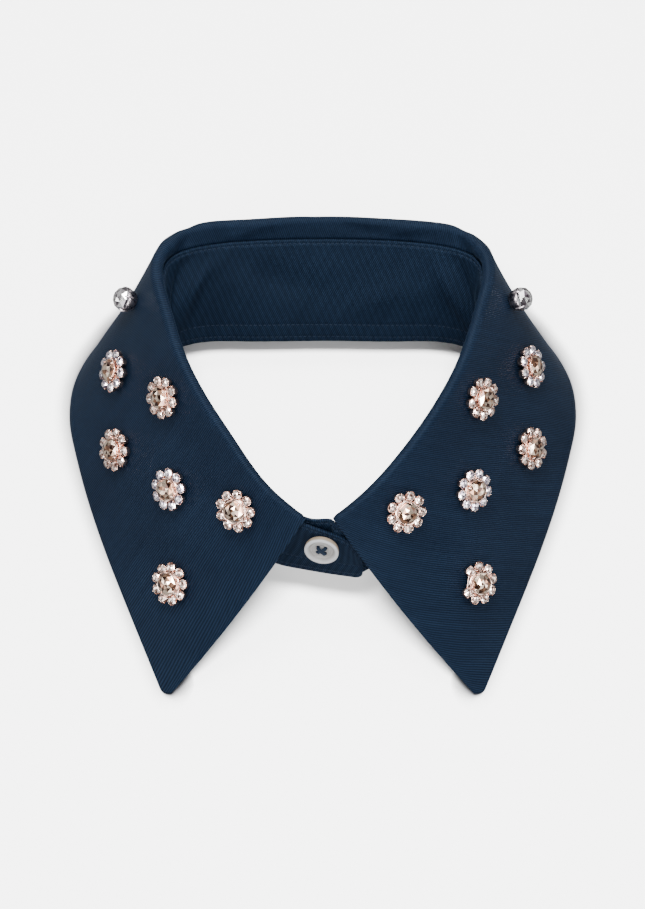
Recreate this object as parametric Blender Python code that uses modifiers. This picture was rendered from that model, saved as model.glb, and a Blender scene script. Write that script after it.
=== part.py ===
"""A detachable shirt collar that stands by itself: a buttoned stand, a turned-down fall and sewn-on jewels.

Metres, +Z up, resting on z = 0 with its front towards -Y. The wearer's right side is at -X.
Sizes and tables are in millimetres. The tables give the wearer's left side, and the right side mirrors it.
"""

import math
from collections import namedtuple

import bmesh
import bpy
import numpy as np
from mathutils import Matrix, Vector

MM = 0.001
COLLECTION = "detachable_shirt_collar"

# ---------------------------------------------------------------- driving sizes

STAND_WALL = 1.4
FALL_WALL = 1.2
SEW_GAP = 0.3

# The closure sits a little to the wearer's right of the middle, from this far along the roll
CLOSURE_SHIFT = -1.15
SHIFT_START = 125.0
SHIFT_END = 158.0

STEPS_PER_SECTION = 4
STAND_STEPS = 4
RISE_STEPS = 2
ROLL_STEPS = 5
LEAF_STEPS = 6
# The tips are rounded over the last few millimetres of the roll and this much of each side of the point
TIP_ALONG = [2.4, 1.5, 0.7, 0.0]
TIP_ROUNDING = 4.5
# The front edges are cut with a bow, eased in over the last stretch of the roll
FRONT_BOW = 1.5
FRONT_BOW_LENGTH = 16.0

# One row for each section, from the centre back to the front corner: the axis and radius of the roll,
# the leaf's lower edge on the floor and its outward bow, then the top and the foot of the stand's wall
Section = namedtuple(
    "Section",
    "where roll_x roll_y roll_z roll_r edge_x edge_y bow top_x top_y top_z foot_x foot_y foot_z",
)
SECTIONS = [
    Section("centre back", 0.0, 68.7, 38.5, 2.6, 0.0, 82.5, 1.0, 0.0, 63.7, 36.4, 0.0, 37.0, 12.3),
    Section("back", 26.0, 67.4, 38.9, 2.6, 28.0, 80.0, 1.0, 26.0, 62.8, 36.6, 26.0, 36.7, 12.5),
    Section("back corner", 42.5, 64.4, 40.4, 2.6, 47.8, 70.4, 0.6, 41.3, 60.1, 38.4, 41.3, 36.0, 13.4),
    Section("shoulder", 53.0, 56.4, 43.6, 2.6, 67.6, 50.4, 0.0, 51.7, 54.3, 41.1, 51.3, 31.6, 15.6),
    Section("neck side", 55.3, 47.5, 46.7, 2.6, 81.0, 34.2, -0.6, 53.4, 46.8, 42.6, 54.0, 25.8, 17.2),
    Section("side", 52.9, 35.3, 48.8, 2.5, 86.3, 17.6, -0.4, 51.0, 34.7, 44.4, 52.2, 15.5, 18.8),
    Section("side front", 48.0, 18.0, 49.9, 2.4, 84.7, 2.6, 0.0, 46.2, 17.3, 45.4, 47.8, 1.5, 19.8),
    Section("collarbone", 39.7, 0.5, 49.7, 2.3, 80.0, -15.5, 0.4, 38.2, -0.4, 45.5, 40.4, -14.0, 20.6),
    Section("front", 30.3, -14.0, 48.8, 2.2, 73.8, -34.2, 0.6, 28.9, -15.1, 45.1, 31.4, -27.6, 21.4),
    Section("front slope", 16.5, -30.5, 46.0, 1.9, 63.4, -61.0, 0.6, 15.5, -31.8, 43.5, 17.4, -44.2, 21.9),
    Section("front corner", 5.1, -39.0, 42.9, 1.6, 52.6, -88.0, 0.2, 4.8, -39.6, 41.4, 6.4, -47.9, 22.2),
]

# The ends of the stand past its front corners, as drawn: how far on, the top and the foot of its wall.
# The end on the wearer's right lies over the other one
Lap = namedtuple("Lap", "on top_x top_y top_z foot_x foot_y foot_z")
OVER_LAP = [
    Lap(6.0, 0.4, -40.9, 41.4, -0.6, -49.2, 22.2),
    Lap(13.0, 7.3, -42.0, 41.4, 6.4, -50.3, 22.2),
    Lap(20.0, 14.2, -42.8, 41.2, 13.2, -51.2, 22.0),
]
UNDER_LAP = [
    Lap(6.0, -1.4, -38.0, 41.5, -0.6, -46.0, 22.6),
    Lap(13.0, -7.8, -35.4, 41.3, -7.4, -43.2, 22.8),
    Lap(19.0, -12.8, -31.6, 41.6, -13.0, -40.2, 22.8),
]

# Beside the over end, the foot of the other side stands a little forward and lower: how far it moves,
# and the stretch of the roll over which it does so, from the front corner
FOOT_PUSH = (0.0, -2.6, -0.8)
FOOT_PUSH_FROM = -34.0
FOOT_PUSH_TO = 10.0

# How an end of the stand is cut: its top slopes down and turns a wide corner, its foot a small one
END_SLOPE_LENGTH = 19.0
OVER_END_DROP = 5.2
UNDER_END_DROP = 1.5
END_TOP_RADIUS = 9.0
END_FOOT_RADIUS = 2.6
END_COLUMNS = [0.0, 0.35, 1.2, 2.6, 4.4, 6.4, 9.0, 12.0, 15.5]

# Jewels by their place: how far along the roll from the centre back (the wearer's right side is
# negative), how far down the leaf from the top of the roll, the turn of the petals in degrees,
# their colour and how many of the ring's petals are left
Flower = namedtuple("Flower", "along down turn colour petals")
FLOWERS = [
    Flower(-85.5, 32.5, 10, "lilac", 9),
    Flower(-107.5, 13.0, 4, "rose", 9),
    Flower(-110.5, 44.0, 16, "rose", 9),
    Flower(-133.0, 30.5, 22, "lilac", 9),
    Flower(-152.0, 13.0, 8, "rose", 9),
    Flower(-154.5, 50.0, 12, "rose", 9),
    Flower(84.5, 31.5, 26, "lilac", 9),
    Flower(108.0, 13.0, 14, "rose", 9),
    Flower(110.0, 44.0, 2, "rose", 9),
    Flower(133.5, 30.0, 18, "lilac", 9),
    Flower(152.0, 14.0, 30, "rose", 9),
    Flower(153.5, 52.5, 190, "rose", 8),
]
ShoulderStone = namedtuple("ShoulderStone", "along down")
SHOULDER_STONES = [ShoulderStone(-69.5, 15.0), ShoulderStone(69.5, 15.0)]
JEWEL_GAP = 0.3

# Turned shapes are radius and height pairs, from the middle of the top down the outer side
RING_PLACES = 9
PETAL_RING = 5.5
PLATE = [(0, 0.8), (5.3, 0.8), (5.3, 0), (0, 0)]
PETAL = [(0, 2.9), (0.9, 2.9), (1.6, 2.1), (1.15, 0.3), (0, 0.3)]
SEAT = [(0, 2.2), (2.7, 2.2), (3.0, 1.9), (2.4, 0.4), (0, 0.4)]
CENTRE_STONE = [(0, 5.0), (1.9, 5.0), (3.25, 3.9), (3.25, 3.6), (2.3, 2.5), (0, 2.5)]
LINK_BAR = (1.6, 0.5, 0.6)
SHOULDER_CUP = [(0, 2.6), (3.2, 2.6), (3.9, 3.6), (4.1, 3.3), (3.2, 0.8), (2.4, 0), (0, 0)]
SHOULDER_STONE = [(0, 7.0), (1.9, 6.7), (3.3, 5.4), (3.7, 4.2), (3.3, 3.6), (2.9, 2.9), (0, 2.9)]

BUTTON = [
    (0, 1.6), (3.4, 1.6), (4.0, 2.2), (4.8, 2.6), (5.4, 2.5), (5.8, 2.1), (5.7, 0.9), (5.0, 0.1), (4.0, 0), (0, 0),
]
BUTTON_ALONG = 14.0
BUTTON_DOWN = 0.38
BUTTON_GAP = 0.3
HOLE_RADIUS = 0.75
HOLE_SPREAD = 1.25
THREAD_RADIUS = 0.4
THREAD_RISE = 2.35
THREAD_FOOT = 0.1

NAVY = (0.011, 0.024, 0.052)


# ---------------------------------------------------------------- curves through the tables

def spline(knots, rows, at):
    """Read a natural cubic spline that passes through the rows at the knots."""
    knots = np.asarray(knots, float)
    rows = np.asarray(rows, float).reshape(len(knots), -1)
    gaps = np.diff(knots)
    system = np.eye(len(knots))
    right = np.zeros_like(rows)
    for i in range(1, len(knots) - 1):
        system[i, i - 1 : i + 2] = gaps[i - 1], 2 * (gaps[i - 1] + gaps[i]), gaps[i]
        right[i] = 6 * ((rows[i + 1] - rows[i]) / gaps[i] - (rows[i] - rows[i - 1]) / gaps[i - 1])
    bend = np.linalg.solve(system, right)
    at = np.atleast_1d(np.asarray(at, float))
    i = np.clip(np.searchsorted(knots, at) - 1, 0, len(gaps) - 1)
    gap = gaps[i][:, None]
    a = (knots[i + 1] - at)[:, None] / gap
    b = 1.0 - a
    return a * rows[i] + b * rows[i + 1] + ((a**3 - a) * bend[i] + (b**3 - b) * bend[i + 1]) * gap**2 / 6


def columns(*names):
    return np.array([[getattr(row, name) for name in names] for row in SECTIONS])


def roll_lengths():
    """How far each section lies from the centre back, along the roll."""
    steps = np.linalg.norm(np.diff(columns("roll_x", "roll_y", "roll_z"), axis=0), axis=1)
    return np.concatenate([[0.0], np.cumsum(steps)])


STATIONS = roll_lengths()
HALF = STATIONS[-1]


def mirrored(rows, flips):
    """The same rows for both sides: the wearer's right side first, turned over by flips."""
    rows = np.asarray(rows, float)
    return np.concatenate([rows[:0:-1] * flips, rows])


def closure_shift(along):
    t = np.clip((np.abs(along) - SHIFT_START) / (SHIFT_END - SHIFT_START), 0.0, 1.0)
    return CLOSURE_SHIFT * t * t * (3 - 2 * t)


BOTH_STATIONS = mirrored(STATIONS[:, None], [-1.0]).ravel()
ROLL_ROWS = mirrored(columns("roll_x", "roll_y", "roll_z", "roll_r"), [-1, 1, 1, 1])
EDGE_ROWS = mirrored(columns("edge_x", "edge_y", "bow"), [-1, 1, 1])
STAND_ROWS = mirrored(columns("top_x", "top_y", "top_z", "foot_x", "foot_y", "foot_z"), [-1, 1, 1, -1, 1, 1])


def roll_at(along):
    rows = spline(BOTH_STATIONS, ROLL_ROWS, along)
    rows[:, 0] += closure_shift(along)
    return rows[:, :3], rows[:, 3]


def edge_at(along):
    rows = spline(BOTH_STATIONS, EDGE_ROWS, along)
    points = np.column_stack([rows[:, :2], np.zeros(len(rows))])
    return points, rows[:, 2]


def lap_rows(laps):
    return np.array([[lap.top_x, lap.top_y, lap.top_z, lap.foot_x, lap.foot_y, lap.foot_z] for lap in laps])


def stand_at(along):
    """The top and the foot of the stand's wall, laps included."""
    over = lap_rows(OVER_LAP)
    under = lap_rows(UNDER_LAP)
    middle = STAND_ROWS.copy()
    shift = closure_shift(BOTH_STATIONS)
    middle[:, 0] += shift
    middle[:, 3] += shift
    knots = np.concatenate([
        [-HALF - lap.on for lap in OVER_LAP[::-1]],
        BOTH_STATIONS,
        [HALF + lap.on for lap in UNDER_LAP],
    ])
    rows = spline(knots, np.concatenate([over[::-1], middle, under]), along)
    t = (np.atleast_1d(along) - HALF - FOOT_PUSH_FROM) / (FOOT_PUSH_TO - FOOT_PUSH_FROM)
    push = np.sin(math.pi * np.clip(t, 0.0, 1.0)) ** 2
    return rows[:, :3], rows[:, 3:] + push[:, None] * FOOT_PUSH


def unit(vectors):
    return vectors / np.linalg.norm(vectors, axis=-1, keepdims=True)


# ---------------------------------------------------------------- the cloth's surfaces

def fall_stations():
    """Places along the roll for the fall's columns, close together at the rounded tips."""
    starts = zip(STATIONS, STATIONS[1:])
    half = np.concatenate([np.linspace(a, b, STEPS_PER_SECTION, endpoint=False) for a, b in starts])
    half = np.concatenate([half[half < HALF - TIP_ALONG[0] - 1.0], HALF - np.array(TIP_ALONG)])
    return np.concatenate([-half[:0:-1], half])


def rotate90(vectors):
    return np.stack([-vectors[..., 1], vectors[..., 0]], axis=-1)


def direction(angles):
    return np.stack([np.cos(angles), np.sin(angles)], axis=-1)


def front_bow(along, t):
    """How far the leaf reaches past its straight ruling near a front edge, t of the way down it."""
    near = np.clip(1.0 - (HALF - abs(along)) / FRONT_BOW_LENGTH, 0.0, 1.0)
    return math.copysign(FRONT_BOW * 4 * t * (1 - t) * near * near, along)


def fall_section(along, leaf_end, rows_down):
    """One column of the fall: the points of its right side and of its underside, from seam to edge.

    Worked out across the roll, in a plane with one axis pointing out from the neck and one up.
    The leaf also slants along the roll on its way to the edge. leaf_end cuts the leaf short.
    """
    (axis,), (radius,) = roll_at(along)
    tangent = unit(roll_at(along + 0.5)[0] - roll_at(along - 0.5)[0])[0]
    out = unit(np.cross([0.0, 0.0, 1.0], tangent))
    up = np.cross(tangent, out)

    def across(point):
        return np.array([(point - axis) @ out, (point - axis) @ up])

    top, foot = (points[0] for points in stand_at(along))
    stand_up = unit(top - foot)
    seam = top + stand_up * SEW_GAP
    lengthways = unit(stand_at(along + 0.5)[0] - stand_at(along - 0.5)[0])[0]
    to_neck = unit(np.cross(stand_up, lengthways)) * 0.5 * FALL_WALL
    start = across(seam + to_neck)
    under_start = seam - to_neck
    start_slant = (seam - axis) @ tangent

    edge, bow = (rows[0] for rows in edge_at(along))
    end = across(edge)
    slant = (edge - axis) @ tangent
    start_distance = np.hypot(*start)
    end_distance = np.hypot(*end)
    bulge = 4.0 * bow / end_distance
    first = math.atan2(start[1], start[0]) % math.tau - math.acos(min(1.0, radius / start_distance))
    last = math.atan2(end[1], end[0]) + math.acos(radius / end_distance) + bulge

    right = []
    under = []

    def add(point, normal, shift):
        right.append(axis + out * point[0] + up * point[1] + tangent * shift)
        inner = point - normal * FALL_WALL
        under.append(axis + out * inner[0] + up * inner[1] + tangent * shift)

    rise_top = radius * direction(first)
    for t in np.linspace(0.0, 1.0, RISE_STEPS, endpoint=False):
        point = start * (1 - t) + rise_top * t
        add(point, direction(first), start_slant * (1 - t))
    under[0] = under_start
    for angle in np.linspace(first, last, ROLL_STEPS + 1):
        add(radius * direction(angle), direction(angle), 0.0)

    leaf_top = radius * direction(last)
    chord = end - leaf_top
    length = np.hypot(*chord)
    leave = direction(last - math.pi / 2)
    arrive_angle = math.atan2(chord[1], chord[0])
    arrive = direction(2 * arrive_angle - (last - math.pi / 2))
    bends = [leaf_top, leaf_top + leave * length / 3, end - arrive * length / 3, end]
    for t in np.linspace(0.0, leaf_end, rows_down + 1)[1:]:
        weights = [(1 - t) ** 3, 3 * t * (1 - t) ** 2, 3 * t * t * (1 - t), t**3]
        point = sum(w * p for w, p in zip(weights, bends))
        course = 3 * ((1 - t) ** 2 * (bends[1] - bends[0]) + t * t * (bends[3] - bends[2]))
        course += 6 * t * (1 - t) * (bends[2] - bends[1])
        add(point, unit(rotate90(course)), slant * t + front_bow(along, t))
    return np.array(right), np.array(under), unit(right[-2] - right[-1])


def tip_ends():
    """How much of the leaf is left at each of the last columns, so that its point is rounded."""
    tip = edge_at(HALF)[0][0]
    corner = roll_at(HALF)[0][0]
    front = np.linalg.norm(corner - tip)
    along = HALF - np.array(TIP_ALONG)
    before = np.linalg.norm(edge_at(along)[0] - tip, axis=1)
    start = before[0]
    t = 1.0 - before / start
    cut = TIP_ROUNDING / front * t * t
    return dict(zip(np.round(along, 6), 1.0 - cut))


def fall_skins():
    ends = tip_ends()
    right, under = [], []
    for along in fall_stations():
        leaf_end = ends.get(round(abs(along), 6), 1.0)
        outside, inside, rule = fall_section(along, leaf_end, LEAF_STEPS)
        # The underside's last point is drawn up the leaf to the floor, so that the rim stands flat
        if inside[-1][2] < 0:
            inside[-1] += rule * (-inside[-1][2] / rule[2])
        right.append(outside)
        under.append(inside)
    return np.array(right), np.array(under)


def stand_stations():
    over_end = OVER_LAP[-1].on
    under_end = UNDER_LAP[-1].on
    middle = fall_stations()
    over = [-HALF - over_end + s for s in END_COLUMNS if s < over_end - 2.0]
    under = [HALF + under_end - s for s in END_COLUMNS[::-1] if s < under_end - 2.0]
    keep = middle[(np.abs(middle) < HALF - 5.0) | (np.abs(middle) == HALF)]
    return np.concatenate([over, keep, under])


def corner_trim(distance, radius):
    inside = np.clip(radius - distance, 0.0, radius)
    return radius - math.sqrt(radius * radius - inside * inside)


def stand_skins():
    stations = stand_stations()
    tops, feet = stand_at(stations)
    ahead = stand_at(stations + 0.5)
    behind = stand_at(stations - 0.5)
    out_side, neck_side = [], []
    for i, along in enumerate(stations):
        height = np.linalg.norm(tops[i] - feet[i])
        distance = min(along - stations[0], stations[-1] - along)
        drop = OVER_END_DROP if along < 0 else UNDER_END_DROP
        slope = drop * max(0.0, 1.0 - distance / END_SLOPE_LENGTH)
        start = (slope + corner_trim(distance, END_TOP_RADIUS)) / height
        stop = 1.0 - corner_trim(distance, END_FOOT_RADIUS) / height
        column = []
        normals = []
        for t in np.linspace(start, stop, STAND_STEPS + 1):
            column.append(tops[i] * (1 - t) + feet[i] * t)
            lengthways = (ahead[0][i] - behind[0][i]) * (1 - t) + (ahead[1][i] - behind[1][i]) * t
            normals.append(unit(np.cross(tops[i] - feet[i], lengthways)))
        column = np.array(column)
        normals = np.array(normals)
        neck_side.append(column + normals * 0.5 * STAND_WALL)
        out_side.append(column - normals * 0.5 * STAND_WALL)
    return np.array(neck_side), np.array(out_side)


# ---------------------------------------------------------------- making objects

def new_material(name, colour, roughness, metallic=0.0):
    material = bpy.data.materials.new(name)
    material.use_nodes = True
    shader = material.node_tree.nodes["Principled BSDF"]
    shader.inputs["Base Color"].default_value = (*colour, 1.0)
    shader.inputs["Roughness"].default_value = roughness
    shader.inputs["Metallic"].default_value = metallic
    return material


def add_object(name, mesh, material, collection):
    mesh.materials.clear()
    mesh.materials.append(material)
    item = bpy.data.objects.new(name, mesh)
    collection.objects.link(item)
    return item


def wall_mesh(name, right, under):
    """Close two skins, grids of columns by rows, into one wall."""
    count, rows = right.shape[:2]
    bm = bmesh.new()
    front = [[bm.verts.new(p * MM) for p in column] for column in right]
    back = [[bm.verts.new(p * MM) for p in column] for column in under]
    for i in range(count - 1):
        for j in range(rows - 1):
            bm.faces.new([front[i][j], front[i][j + 1], front[i + 1][j + 1], front[i + 1][j]])
            bm.faces.new([back[i][j], back[i + 1][j], back[i + 1][j + 1], back[i][j + 1]])
        for j, turn in ((0, 1), (rows - 1, -1)):
            bm.faces.new([front[i][j], front[i + 1][j], back[i + 1][j], back[i][j]][::turn])
    for j in range(rows - 1):
        for i, turn in ((0, -1), (count - 1, 1)):
            bm.faces.new([front[i][j], front[i][j + 1], back[i][j + 1], back[i][j]][::turn])
    bmesh.ops.recalc_face_normals(bm, faces=bm.faces)
    mesh = bpy.data.meshes.new(name)
    bm.to_mesh(mesh)
    bm.free()
    mesh.shade_smooth()
    mesh.set_sharp_from_angle(angle=math.radians(40))
    return mesh


def evaluated_mesh(item):
    """The object's mesh with its modifiers applied; the object itself is removed."""
    bpy.context.scene.collection.objects.link(item)
    graph = bpy.context.evaluated_depsgraph_get()
    mesh = bpy.data.meshes.new_from_object(item.evaluated_get(graph))
    bpy.data.objects.remove(item)
    return mesh


def turned_mesh(profile, sides):
    mesh = bpy.data.meshes.new("profile")
    points = [(radius * MM, 0, height * MM) for radius, height in profile]
    mesh.from_pydata(points, [(i, i + 1) for i in range(len(points) - 1)], [])
    item = bpy.data.objects.new("profile", mesh)
    screw = item.modifiers.new("turn", "SCREW")
    screw.steps = sides
    screw.render_steps = sides
    screw.use_merge_vertices = True
    screw.merge_threshold = 0.000001
    return evaluated_mesh(item)


def joined_mesh(pieces):
    """One mesh from several, each with its own placing."""
    bm = bmesh.new()
    for mesh, placing in pieces:
        copy = mesh.copy()
        copy.transform(placing)
        bm.from_mesh(copy)
        bpy.data.meshes.remove(copy)
    whole = bpy.data.meshes.new("joined")
    bm.to_mesh(whole)
    bm.free()
    return whole


def combined_mesh(base, other, operation):
    item = bpy.data.objects.new("base", base)
    tool = bpy.data.objects.new("tool", other)
    bpy.context.scene.collection.objects.link(tool)
    boolean = item.modifiers.new("combine", "BOOLEAN")
    boolean.operation = operation
    boolean.solver = "EXACT"
    boolean.object = tool
    mesh = evaluated_mesh(item)
    bpy.data.objects.remove(tool)
    return mesh


def shade(mesh, angle):
    mesh.shade_smooth()
    mesh.set_sharp_from_angle(angle=math.radians(angle))
    return mesh


# ---------------------------------------------------------------- jewels

def cloth_point(along, down):
    """The point on the fall's right side this far along the roll and down from the roll's top."""
    points = fall_section(along, 1.0, 4 * LEAF_STEPS)[0]
    crown = int(np.argmax(points[:, 2]))
    line = points[crown:]
    lengths = np.concatenate([[0.0], np.cumsum(np.linalg.norm(np.diff(line, axis=0), axis=1))])
    return np.array([np.interp(down, lengths, line[:, k]) for k in range(3)])


def cloth_placing(along, down, turn, reach):
    """Where a jewel sits: Z out of the cloth, clear of it by the jewel gap all over its reach."""
    centre = cloth_point(along, down)
    lengthways = unit(cloth_point(along + 1.0, down) - cloth_point(along - 1.0, down))
    downwards = unit(cloth_point(along, down + 1.0) - cloth_point(along, down - 1.0))
    normal = unit(np.cross(lengthways, downwards))
    around = [math.tau * k / 8 for k in range(8)]
    near = [cloth_point(along + reach * math.cos(a), down + reach * math.sin(a)) for a in around]
    rise = max(0.0, max((point - centre) @ normal for point in near))
    place = centre + normal * (rise + JEWEL_GAP)
    side = unit(np.cross(normal, downwards))
    basis = Matrix((side, np.cross(normal, side), normal)).transposed().to_4x4()
    return Matrix.Translation(Vector(place) * MM) @ basis @ Matrix.Rotation(math.radians(turn), 4, "Z")


def flower_setting(petals):
    """The plate with its ring of petals and the seat of the middle stone, as one solid."""
    petal = turned_mesh(PETAL, 6)
    pieces = [(turned_mesh(SEAT, 12), Matrix.Identity(4))]
    for k in range(RING_PLACES):
        angle = math.tau * k / RING_PLACES
        arm = Matrix.Rotation(angle, 4, "Z") @ Matrix.Translation((PETAL_RING * MM, 0, 0))
        if k < petals:
            pieces.append((petal, arm))
            continue
        bm = bmesh.new()
        bmesh.ops.create_cube(bm, size=MM)
        bar = bpy.data.meshes.new("link")
        bm.to_mesh(bar)
        bm.free()
        bar.transform(Matrix.Diagonal((*LINK_BAR, 1.0)))
        pieces.append((bar, arm @ Matrix.Translation((-0.2 * MM, 0, 0.45 * MM))))
    whole = combined_mesh(turned_mesh(PLATE, RING_PLACES), joined_mesh(pieces), "UNION")
    return shade(whole, 25)


def add_jewels(collection):
    gold = new_material("dark_silver_cup", (0.32, 0.30, 0.30), 0.3, 1.0)
    clear = new_material("clear_crystal", (0.75, 0.78, 0.84), 0.05)
    champagne = new_material("champagne_crystal", (0.72, 0.47, 0.33), 0.08)
    colours = {
        "rose": new_material("rose_petals", (0.62, 0.33, 0.28), 0.15),
        "lilac": new_material("lilac_petals", (0.50, 0.42, 0.50), 0.15),
    }
    settings = {count: flower_setting(count) for count in sorted({row.petals for row in FLOWERS})}
    stone = shade(turned_mesh(CENTRE_STONE, 10), 25)
    for number, row in enumerate(FLOWERS, 1):
        placing = cloth_placing(row.along, row.down, row.turn, PLATE[2][0])
        setting = add_object(f"jewel_{number:02}_setting", settings[row.petals].copy(), colours[row.colour], collection)
        setting.matrix_world = placing
        centre = add_object(f"jewel_{number:02}_stone", stone.copy(), champagne, collection)
        centre.matrix_world = placing
    cup = shade(turned_mesh(SHOULDER_CUP, 14), 35)
    dome = shade(turned_mesh(SHOULDER_STONE, 12), 25)
    for number, row in enumerate(SHOULDER_STONES, 1):
        placing = cloth_placing(row.along, row.down, 0, 2.6)
        add_object(f"shoulder_{number:02}_setting", cup.copy(), gold, collection).matrix_world = placing
        add_object(f"shoulder_{number:02}_stone", dome.copy(), clear, collection).matrix_world = placing


# ---------------------------------------------------------------- the closure

def button_placing():
    """Where the button sits on the over end: Z out of the cloth, X along the band."""
    along = -HALF - OVER_LAP[-1].on + BUTTON_ALONG
    top, foot = (points[0] for points in stand_at(along))
    ahead, behind = stand_at(along + 1.0), stand_at(along - 1.0)
    lengthways = unit(ahead[0][0] + ahead[1][0] - behind[0][0] - behind[1][0])
    centre = top * (1 - BUTTON_DOWN) + foot * BUTTON_DOWN
    normal = unit(np.cross(top - foot, lengthways))
    place = centre + normal * (0.5 * STAND_WALL + BUTTON_GAP)
    basis = Matrix((lengthways, np.cross(normal, lengthways), normal)).transposed().to_4x4()
    return Matrix.Translation(Vector(place) * MM) @ basis


def hole_places():
    return [(x * HOLE_SPREAD, y * HOLE_SPREAD) for x, y in ((1, 1), (-1, 1), (-1, -1), (1, -1))]


def add_button(collection):
    pearl = new_material("pearl_button", (0.78, 0.74, 0.70), 0.22)
    hole = turned_mesh([(0, 5), (HOLE_RADIUS, 5), (HOLE_RADIUS, -5), (0, -5)], 10)
    holes = joined_mesh([(hole, Matrix.Translation((x * MM, y * MM, 0))) for x, y in hole_places()])
    disc = combined_mesh(turned_mesh(BUTTON, 24), holes, "DIFFERENCE")
    add_object("front_button", shade(disc, 35), pearl, collection).matrix_world = button_placing()


def thread_strand(first, last):
    """One strand: up through a hole, across the button and down through the opposite hole."""
    bend = 0.3
    low, high = Vector((*first, THREAD_RISE)), Vector((*last, THREAD_RISE))
    inwards = (high - low).normalized() * bend
    drop = Vector((0, 0, bend))
    floor = Vector((0, 0, THREAD_RISE - THREAD_FOOT))
    points = [low - floor, low - drop, low + inwards, high - inwards, high - drop, high - floor]
    curve = bpy.data.curves.new("strand", "CURVE")
    curve.dimensions = "3D"
    curve.bevel_depth = THREAD_RADIUS * MM
    curve.bevel_resolution = 1
    curve.use_fill_caps = True
    line = curve.splines.new("POLY")
    line.points.add(len(points) - 1)
    for place, point in zip(line.points, points):
        place.co = (*(point * MM), 1.0)
    mesh = evaluated_mesh(bpy.data.objects.new("strand", curve))
    bm = bmesh.new()
    bm.from_mesh(mesh)
    bmesh.ops.remove_doubles(bm, verts=bm.verts, dist=0.000001)
    bm.to_mesh(mesh)
    bm.free()
    return mesh


def add_thread(collection):
    cotton = new_material("navy_thread", NAVY, 0.8)
    corners = hole_places()
    strands = [thread_strand(corners[k], corners[k + 2]) for k in range(2)]
    cross = combined_mesh(strands[0], strands[1], "UNION")
    add_object("button_thread", shade(cross, 40), cotton, collection).matrix_world = button_placing()


# ---------------------------------------------------------------- the collar

def add_cloth(collection):
    twill = new_material("navy_twill", NAVY, 0.75)
    add_object("collar_fall", wall_mesh("collar_fall", *fall_skins()), twill, collection)
    add_object("collar_stand", wall_mesh("collar_stand", *stand_skins()), twill, collection)


def centre_on_origin(collection):
    """Move everything so that the fall, the largest piece, has the origin under its middle."""
    fall = collection.objects["collar_fall"]
    ends = [corner[1] for corner in fall.bound_box]
    middle = (min(ends) + max(ends)) / 2
    for item in collection.objects:
        item.matrix_world = Matrix.Translation((0, -middle, 0)) @ item.matrix_world


def main():
    for item in list(bpy.data.objects):
        bpy.data.objects.remove(item)
    collection = bpy.data.collections.new(COLLECTION)
    bpy.context.scene.collection.children.link(collection)
    add_cloth(collection)
    add_jewels(collection)
    add_button(collection)
    add_thread(collection)
    centre_on_origin(collection)


main()
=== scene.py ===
# %% [markdown]
# # A detachable shirt collar with flower jewels
# The collar is a separate piece of a shirt: a stand that buttons round the neck and a fall that turns
# down over it into two long points. It stands by itself on a pale table. The solids from the frame
# carry its true size; this lesson gives each of them its cloth, thread, metal, crystal and pearl.

import math
from collections import namedtuple

import bpy
import numpy as np
from mathutils import Matrix, Vector


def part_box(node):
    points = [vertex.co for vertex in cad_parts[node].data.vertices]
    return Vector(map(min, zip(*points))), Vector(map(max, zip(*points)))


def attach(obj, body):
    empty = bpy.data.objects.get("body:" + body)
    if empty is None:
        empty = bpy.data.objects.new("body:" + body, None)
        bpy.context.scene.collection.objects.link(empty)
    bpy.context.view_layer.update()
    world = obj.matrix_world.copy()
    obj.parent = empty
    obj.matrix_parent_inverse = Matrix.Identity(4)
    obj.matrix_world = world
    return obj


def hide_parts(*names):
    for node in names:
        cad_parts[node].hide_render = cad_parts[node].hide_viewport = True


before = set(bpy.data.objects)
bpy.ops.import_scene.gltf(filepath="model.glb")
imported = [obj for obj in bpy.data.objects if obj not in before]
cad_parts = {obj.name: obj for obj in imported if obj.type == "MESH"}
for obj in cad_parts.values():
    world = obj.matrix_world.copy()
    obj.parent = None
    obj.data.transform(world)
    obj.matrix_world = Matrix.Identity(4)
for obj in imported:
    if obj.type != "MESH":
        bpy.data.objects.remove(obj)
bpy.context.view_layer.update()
MM = 0.001
print("solids in the frame:", len(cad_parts))


def new_object(name, data):
    """Put an object with this data into the scene."""
    piece = bpy.data.objects.new(name, data)
    bpy.context.scene.collection.objects.link(piece)
    return piece


def pick(*pieces):
    """Select these pieces alone, and make the first one active."""
    bpy.ops.object.select_all(action="DESELECT")
    for piece in pieces:
        piece.select_set(True)
    bpy.context.view_layer.objects.active = pieces[0]


# %% [markdown]
# ## Words for nodes
# The sky and every finish are small trees of nodes. The words below each add one node and give back
# its output, so that a finish can be read as a short list. What is given to a socket is joined to it
# if it is another node's output, and set as its value if not.


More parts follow.
